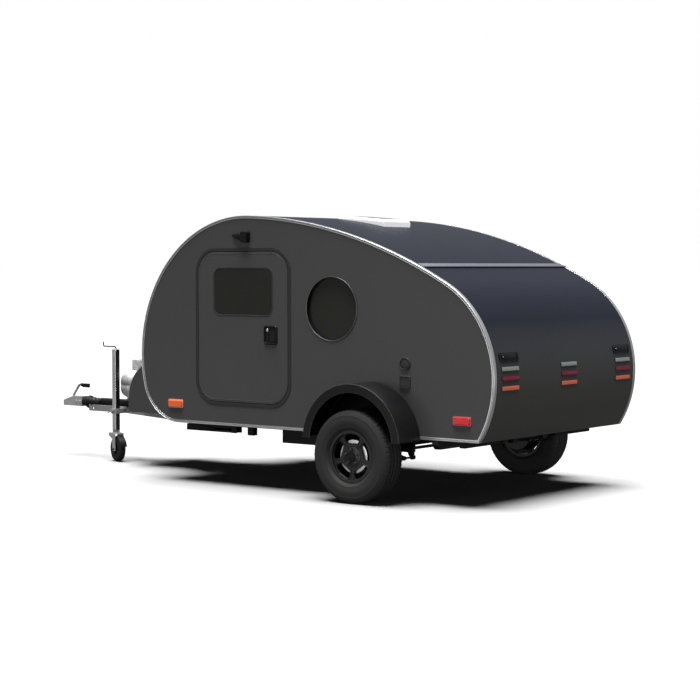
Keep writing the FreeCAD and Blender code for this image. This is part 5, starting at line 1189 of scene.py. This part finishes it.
dampers, bolts = Shape(), Shape()
for name, side in SIDES:
    aside, eye_half = Vector((0.0, side * SHOCK_OUT, 0.0)), Vector((0.0, EYE_HALF, 0.0))
    at, reach = along(SHOCK_LOW + aside, SHOCK_HIGH + aside)
    dampers.lathe([(0.01, 0.0001), (0.01, 0.012), (0.018, 0.0235), (reach * 0.5, 0.0235),
        (reach * 0.52, 0.03), (reach * 0.55, 0.0315), (reach - 0.018, 0.0315),
        (reach - 0.012, 0.012), (reach - 0.004, 0.01), (reach - 0.004, 0.0001)], at, 48)
    for eye in (SHOCK_LOW + aside, SHOCK_HIGH + aside):
        at, length = along(eye - eye_half, eye + eye_half)
        dampers.lathe([(0.0, 0.0085), (0.0, 0.015), (0.003, 0.0175), (length - 0.003, 0.0175),
            (length, 0.015), (length, 0.0085)], at, 36, closed=True)
    at, length = along(SHOCK_LOW + aside * ((SHOCK_OUT - 0.026) / SHOCK_OUT),
        SHOCK_LOW + Vector((0.0, side * (rail_out + 0.015), 0.0)))
    bolts.lathe([(0.0, 0.0001), (0.0, 0.0078), (length, 0.0078), (length, 0.0001)], at, 24)
    outside = PIVOT + Vector((0.0, side * ARM_OUT, 0.0))
    bolt_head(bolts, along(outside, outside + Vector((0.0, side, 0.0)))[0], 0.03, 0.013)
damper_piece = dampers.piece("shock_dampers", "trailer", steel, slot="black_steel", edge=0.0006)
bolts.piece("suspension_bolts", "trailer", nut_material, slot="black_steel", edge=0.0005)
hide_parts("shock_absorbers")


# ---------------------------------------------------------------- coupling
# Zinc plated cast head bolted to the overrun tube, a black rubber bellows behind it and a
# steel lever with a black moulded grip that lifts to release the ball.
BELLOWS_FOLDS = (
    (0.0, 0.03), (0.0, 0.0375), (0.004, 0.0395), (0.014, 0.0395), (0.018, 0.036),
    (0.029, 0.0365), (0.035, 0.0405), (0.042, 0.042), (0.049, 0.0405), (0.059, 0.0345),
    (0.071, 0.0335), (0.079, 0.037), (0.085, 0.044), (0.091, 0.046), (0.098, 0.044),
    (0.11, 0.0375), (0.123, 0.0365), (0.128, 0.042), (0.134, 0.055), (0.142, 0.0578),
    (0.152, 0.0578), (0.16, 0.0545), (0.168, 0.043), (0.178, 0.0385), (0.195, 0.04),
    (0.2145, 0.04), (0.2145, 0.03))
bellows_rubber = coated_material("bellows_rubber", tint(0.005), tint(0.03), specular=0.2,
    Drift=0.08, Patch_Scale=9.0, Grain_Scale=500.0, Edge_Wear=0.2, Roughness=0.55)
bellows_box = Box("coupling_bellows")
bellows_place = along((bellows_box.low.x, 0.0, bellows_box.middle.z),
    (bellows_box.high.x, 0.0, bellows_box.middle.z))[0]
bellows_piece = Shape().lathe(BELLOWS_FOLDS, bellows_place, 72, closed=True).piece(
    "bellows_folds", "trailer", bellows_rubber, slot="rubber", smooth=60)
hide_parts("coupling_bellows")
dress(pale_zinc, "coupling_head")
soften(0.006, "coupling_head")
head_low, head_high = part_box("coupling_head")
head_bolts = Shape()
for side in (1, -1):
    for back in (0.022, 0.07):
        at = Vector((head_low.x + back, side * (head_high.y - 0.001), head_low.z + 0.044))
        bolt_head(head_bolts, along(at, at + Vector((0.0, side, 0.0)))[0], 0.019, 0.009)
head_bolts.piece("head_bolts", "trailer", pale_zinc, slot="galvanised", edge=0.0004)
lever_low, lever_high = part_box("coupling_lever")
lever_foot = Matrix(((1, 0, 0, lever_high.x - 0.036), (0, 0, 1, 0.0),
    (0, 1, 0, lever_low.z + 0.01133), (0, 0, 0, 1)))
lever = Shape()
for cheek in (-0.0105, 0.0055):
    lever.prism([(0.018, -0.004), (0.034, -0.0095), (0.038, 0.006), (-0.036, 0.103),
        (-0.046, 0.108), (-0.072, 0.108), (-0.072, 0.098), (-0.048, 0.097), (0.022, 0.008)],
        cheek, cheek + 0.005, lever_foot)
lever.prism([(-0.004, 0.051), (-0.036, 0.094), (-0.046, 0.106), (-0.062, 0.106),
    (-0.062, 0.1), (-0.048, 0.098), (-0.012, 0.051)], -0.0058, 0.0058, lever_foot)
lever_piece = lever.piece("lever_arm", "trailer", zinc, slot="galvanised", edge=0.0012)
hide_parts("coupling_lever")
grip_place = Matrix(((0, 0, 1, lever_low.x), (1, 0, 0, 0), (0, 1, 0, lever_high.z - 0.008),
    (0, 0, 0, 1)))
# distance from the grip's end, height of its underside under the top, half width
GRIP_STATIONS = (
    (0.0, 0.026, 0.0085), (0.0035, 0.036, 0.0115), (0.012, 0.039, 0.0125),
    (0.022, 0.027, 0.0125), (0.032, 0.0385, 0.0128), (0.043, 0.027, 0.0125),
    (0.053, 0.0385, 0.0128), (0.064, 0.027, 0.0125), (0.074, 0.0385, 0.0128),
    (0.086, 0.03, 0.0128), (0.096, 0.031, 0.0122), (0.108, 0.023, 0.011))
Shape().skin([raised(rounded_outline(2 * half, drop - 0.002, 0.0078, 6,
    centre=(0.0, 0.019 - drop / 2)), w) for w, drop, half in GRIP_STATIONS], grip_place).piece(
    "lever_grip", "trailer", black_moulding, slot="black_plastic", edge=0.001, smooth=55)


# ---------------------------------------------------------------- jockey wheel jack
# Square galvanised tubes that slide in a clamp on the drawbar, closed by a pressed cap; a
# black steel crank turns the spindle inside and a T-screw holds the outer tube. The outer
# tube's rear-facing side is painted dark grey, a painted shade.
JACK_WALL = 0.003
CRANK_RADIUS = 0.006
CRANK_RISE = 0.026
CRANK_BEND = 0.016
REAR_PAINTED_SHADE = tint(0.045)
jack_box = Box("jack_tube")
jack_x, jack_y = Box("jack_leg").middle.x, jack_box.middle.y
crank_end = jack_box.high.x - CRANK_RADIUS
crank_z = jack_box.high.z - 0.041
tube_top = crank_z - CRANK_RISE
jack_place = Matrix.Translation((jack_x, jack_y, 0.0))
dress(zinc, "jack_leg", "jack_clamp")
soften(0.0025, "jack_leg", "jack_clamp")


def rod(shape, path, radius, bend=0.0, steps=16):
    """A round bar along a path of points, its corners bent round."""
    line = [Vector(path[0])]
    for before, corner, after in zip(path, path[1:], path[2:]):
        corner = Vector(corner)
        start = corner + (Vector(before) - corner).normalized() * bend
        end = corner + (Vector(after) - corner).normalized() * bend
        line += [start * (1 - part) ** 2 + corner * 2 * part * (1 - part) + end * part ** 2
            for part in (step / 8 for step in range(9))]
    line.append(Vector(path[-1]))
    rings, aside = [], Vector((0, 1, 0))
    for index, point in enumerate(line):
        ahead = (line[min(index + 1, len(line) - 1)] - line[max(index - 1, 0)]).normalized()
        up = ahead.cross(aside).normalized()
        rings.append([point + (aside * u + up * v) * radius for u, v in circle(1.0, steps)])
    return shape.skin(rings)


tube_zinc = grouped_material("tube_zinc", spangled, Color=tint(0.78, 0.78, 0.77),
    Dark=tint(0.72), Scale=9.0, Roughness=0.26, metallic=0.95)
tube_tree = tube_zinc.node_tree
# painted shade: faces turned towards the rear are darkened
lay_over(tube_zinc, math_node(tube_tree, "MULTIPLY_ADD", own(tube_tree, "Normal", "X"), -2.5,
    -0.25, clamp=True), REAR_PAINTED_SHADE)
Shape().hoop(rounded_outline(jack_box.size.y - JACK_WALL, jack_box.size.y - JACK_WALL, 0.0055, 4),
    [(-JACK_WALL / 2, jack_box.low.z), (JACK_WALL / 2, jack_box.low.z), (JACK_WALL / 2, tube_top),
    (-JACK_WALL / 2, tube_top)], jack_place).piece(
    "jack_outer_tube", "jack_tube", tube_zinc, slot="galvanised", smooth=60)
jack_cap = Shape().skin([raised(rounded_outline(jack_box.size.y - 2 * inset,
    jack_box.size.y - 2 * inset, 0.006, 4), tube_top + rise) for inset, rise in (
    (0.0002, -0.018), (0.0002, 0.0), (0.0015, 0.0028), (0.012, 0.0055))], jack_place)
jack_cap.lathe([(tube_top + 0.004, 0.012), (tube_top + 0.012, 0.0115),
    (tube_top + 0.013, 0.007)], jack_place, 32)
cap_piece = jack_cap.piece("jack_cap", "jack_tube", zinc, slot="galvanised", edge=0.0006)
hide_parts("jack_tube")
rod(Shape(), ((jack_x, jack_y, tube_top + 0.002), (jack_x, jack_y, crank_z),
    (crank_end, jack_y, crank_z), (crank_end, jack_y, jack_box.high.z - 0.0005)),
    CRANK_RADIUS - 0.0006, CRANK_BEND).piece(
    "jack_crank", "jack_tube", steel, slot="black_steel", smooth=60)
clamp_box = Box("jack_clamp")
clamp_z = clamp_box.middle.z
at, reach = along((jack_x, clamp_box.high.y - 0.001, clamp_z),
    (jack_x, clamp_box.high.y + 0.036, clamp_z))
screw = Shape().lathe([(0.0, 0.0001), (0.0, 0.011), (0.008, 0.011), (0.0085, 0.006),
    (reach, 0.006), (reach, 0.0001)], at, 24)
rod(screw, ((jack_x - 0.04, clamp_box.high.y + 0.03, clamp_z + 0.012),
    (jack_x + 0.04, clamp_box.high.y + 0.03, clamp_z - 0.012)), 0.0042)
screw.piece("clamp_screw", "trailer", zinc, slot="galvanised", edge=0.0005)


# ---------------------------------------------------------------- jockey wheel and its fork
# Pressed zinc plated fork with a black guard behind the tyre; a solid rubber tyre on a
# ribbed black hub turns on a bolt between its plates.
HUB_RIBS = 8
JOCKEY_TURN = math.radians(20)
GUARD_FROM, GUARD_TO = math.radians(12), math.radians(78)
dress(pale_zinc, "jockey_fork")
soften(0.002, "jockey_fork")
jockey_rubber = coated_material("solid_rubber", tint(0.006), specular=0.2, Drift=0.1,
    Patch_Scale=9.0, Grain_Scale=420.0, Grain_Depth=0.00008, Edge_Radius=0.0012, Edge_Wear=0.3,
    Roughness=0.66, Dust=0.05, Dust_Height=0.25)
jockey_middle = Box("jockey_wheel").middle
jockey_axle = Vector((math.sin(JOCKEY_TURN), math.cos(JOCKEY_TURN), 0.0))
trail = Vector((-math.cos(JOCKEY_TURN), math.sin(JOCKEY_TURN), 0.0))
jockey_place = along(jockey_middle, jockey_middle + jockey_axle)[0]
tyre_piece = Shape().lathe(mirrored([(0.003, 0.1099), (0.005, 0.1075), (0.008, 0.1075),
    (0.01, 0.1097), (0.016, 0.1085), (0.0245, 0.103), (0.0295, 0.093), (0.031, 0.08),
    (0.0305, 0.066), (0.025, 0.062), (0.025, 0.056)]), jockey_place, 96, closed=True).piece(
    "jockey_tyre", "jockey_wheel", jockey_rubber, slot="solid_rubber", smooth=50)
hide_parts("jockey_wheel")
hub = Shape().lathe(mirrored([(0.0305, 0.0085), (0.0305, 0.019), (0.02, 0.022),
    (0.008, 0.024), (0.008, 0.046), (0.02, 0.048), (0.0275, 0.05), (0.027, 0.058)]),
    jockey_place, 72, closed=True)
for rib in range(HUB_RIBS):
    hub.prism([(0.02, -0.0022), (0.049, -0.0022), (0.049, 0.0022), (0.02, 0.0022)],
        -0.019, 0.019, jockey_place @ Matrix.Rotation(2 * math.pi * rib / HUB_RIBS, 4, "Z"))
hub.piece("jockey_hub", "jockey_wheel", paddle_material, slot="grey_plastic", edge=0.0008)
Shape().skin([[jockey_middle + (trail * back + Vector((0, 0, up))) * reach + jockey_axle * out
    for reach, out in ((0.12, -0.031), (0.124, -0.03), (0.124, 0.03), (0.12, 0.031),
    (0.119, 0.028), (0.119, -0.028))] for back, up in arc(1.0, 16, GUARD_FROM, GUARD_TO)]).piece(
    "jockey_guard", "jockey_fork", black_moulding, slot="black_plastic", edge=0.0006)
axle_ends = Shape()
for way in (1, -1):
    end = jockey_middle + jockey_axle * way * 0.043
    bolt_head(axle_ends, along(end, end + jockey_axle * way)[0], 0.017, 0.009)
axle_ends.piece("jockey_axle_nuts", "jockey_fork", nut_material, slot="galvanised", edge=0.0004)


# ---------------------------------------------------------------- front locker
# Folded aluminium sheet, coated anthracite to match the body, with bright corner angles and
# two compression locks on its lid.
LOCK_OUT = 0.24
locker_material = coated_material("locker_coating", tint(0.056, 0.056, 0.0566), tint(0.13),
    specular=0.3, Drift=0.06, Patch_Scale=2.0, Grain_Scale=1100.0, Grain_Depth=0.00006,
    Edge_Radius=0.002, Edge_Wear=0.5, Roughness=0.44)
dress(locker_material, "locker_body", "locker_lid")
soften(0.003, "locker_body", "locker_lid")
locker_low, locker_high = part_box("locker_body")
line = [point for point in moved_in(face_outline("locker_body", 1, 0.001), 0.0035)
    if point[1] > locker_low.z + 0.006 and point[0] > locker_low.x + 0.02]
foot = max(range(len(line)), key=lambda index: line[index][0] - 4 * line[index][1])
for name, side in SIDES:
    Shape().hoop(line[foot:] + line[:foot],
        [(-0.003, 0.0), (0.003, 0.0), (0.003, 0.0012), (-0.003, 0.0012)],
        on_side(side, y=locker_high.y - WALL_FACE), closed=False).piece(
        "locker_trim_" + name, "trailer", anodised, slot="trim_aluminium", edge=0.0004)
lid_floor, lid_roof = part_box("locker_lid")
lid_locks = Shape()
for side in (1, -1):
    middle = Vector((lid_roof.x - 0.001, side * LOCK_OUT, lid_floor.z + 0.05))
    at = along(middle, middle + Vector((1, 0, 0)))[0]
    lid_locks.prism(rounded_outline(0.06, 0.036, 0.008), -0.002, 0.0035, at)
    lid_locks.lathe([(0.003, 0.013), (0.0055, 0.0125), (0.006, 0.007), (0.006, 0.0001)], at,
        32)
lid_locks.piece("locker_locks", "locker_lid", black_moulding, slot="black_plastic", edge=0.0008)


# ---------------------------------------------------------------- gas bottle and its tray
# Two pressed steel shells welded round the middle, hot-dip galvanised, on a foot ring; a
# guard with two hand holes stands round the brass valve. It sits on a galvanised tray.
SIDE_TALL = 0.067
CROWN = 0.1
KNUCKLE = 0.08
WELD_DEPTH = 0.0014
dress(zinc, "bottle_tray")
soften(0.001, "bottle_tray")
bottle_low, bottle_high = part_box("gas_bottle")
bottle_radius = bottle_high.y
bottle_x = Box("bottle_tray").middle.x
bottle_place = Matrix.Translation((bottle_x, 0.0, bottle_low.z))
bottle_zinc = grouped_material("bottle_zinc", spangled, Color=tint(0.68, 0.68, 0.67),
    Dark=tint(0.17, 0.17, 0.175), Scale=70.0, Roughness=0.46, metallic=0.25)
# the dome meets the knuckle where both have the same slope
inner = bottle_radius - KNUCKLE
dome = (inner ** 2 + CROWN ** 2 - KNUCKLE ** 2) / (2 * (CROWN - KNUCKLE))
meet = math.pi / 2 - math.asin(inner / (dome - KNUCKLE))
half_shell = [(radius, CROWN - dome + rise) for radius, rise in arc(dome, 8, math.pi / 2, meet)]
half_shell += [(inner + out, rise) for out, rise in arc(KNUCKLE, 10, meet, 0.0)[1:]]
mid = CROWN + SIDE_TALL / 2
shell = [(CROWN - rise, max(radius, 0.0002)) for radius, rise in half_shell]
shell += [(mid - 0.008, bottle_radius), (mid - 0.006, bottle_radius - WELD_DEPTH),
    (mid + 0.006, bottle_radius - WELD_DEPTH), (mid + 0.008, bottle_radius)]
shell += [(CROWN + SIDE_TALL + rise, max(radius, 0.0002))
    for radius, rise in reversed(half_shell)]
bottle = Shape().lathe(shell, bottle_place, 96)
bottle.lathe([(0.0, 0.0945), (0.0, 0.0965), (0.016, 0.096), (0.02, 0.09), (0.018, 0.089)],
    bottle_place, 72, closed=True)
bottle_piece = bottle.piece("bottle_shell", "trailer", bottle_zinc, slot="galvanised", smooth=40)
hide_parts("gas_bottle")
top = 2 * CROWN + SIDE_TALL
top_place = bottle_place @ Matrix.Translation((0.0, 0.0, top))
tall = bottle_high.z - bottle_low.z - top
collar = Shape()
# the guard's wall leaves the valve's outlet and a hand hole behind it open
for start, end, base in ((25, 155, -0.01), (205, 335, -0.01), (-25, 25, 0.72 * tall),
        (155, 205, 0.72 * tall)):
    collar.skin([[(radius * u, radius * v, z) for radius, z in ((0.0475, base), (0.0498, base),
        (0.0498, tall - 0.003), (0.0485, tall - 0.0005), (0.047, tall - 0.003))]
        for u, v in arc(1.0, 14, math.radians(start), math.radians(end))], top_place)
collar.piece("bottle_guard", "trailer", bottle_zinc, slot="galvanised", smooth=60)
brass = coated_material("valve_brass", tint(0.62, 0.42, 0.16), metallic=0.9, Drift=0.08,
    Patch_Scale=20.0, Grain_Depth=0.00004, Edge_Radius=0.001, Edge_Wear=0.5, Roughness=0.34)
valve = Shape().lathe([(-0.004, 0.016), (0.01, 0.015), (0.012, 0.011), (0.046, 0.0105),
    (0.048, 0.006), (0.052, 0.006), (0.053, 0.0001)], top_place, 32)
outlet_from = Vector((bottle_x, 0.0, bottle_low.z + top + 0.028))
outlet, reach = along(outlet_from, outlet_from + Vector((0.036, 0.0, 0.0)))
valve.lathe([(0.0, 0.0085), (0.018, 0.0085), (0.0185, 0.011), (reach, 0.011), (reach, 0.0065),
    (0.024, 0.006), (0.024, 0.0001)], outlet, 24)
valve.piece("bottle_valve", "trailer", brass, slot="galvanised", edge=0.0006)
Shape().lathe([(0.052, 0.01), (0.053, 0.019), (0.06, 0.02), (0.068, 0.019),
    (0.072, 0.012), (0.073, 0.0001)], top_place, 10).piece(
    "valve_knob", "trailer", black_moulding, slot="black_plastic", edge=0.001)
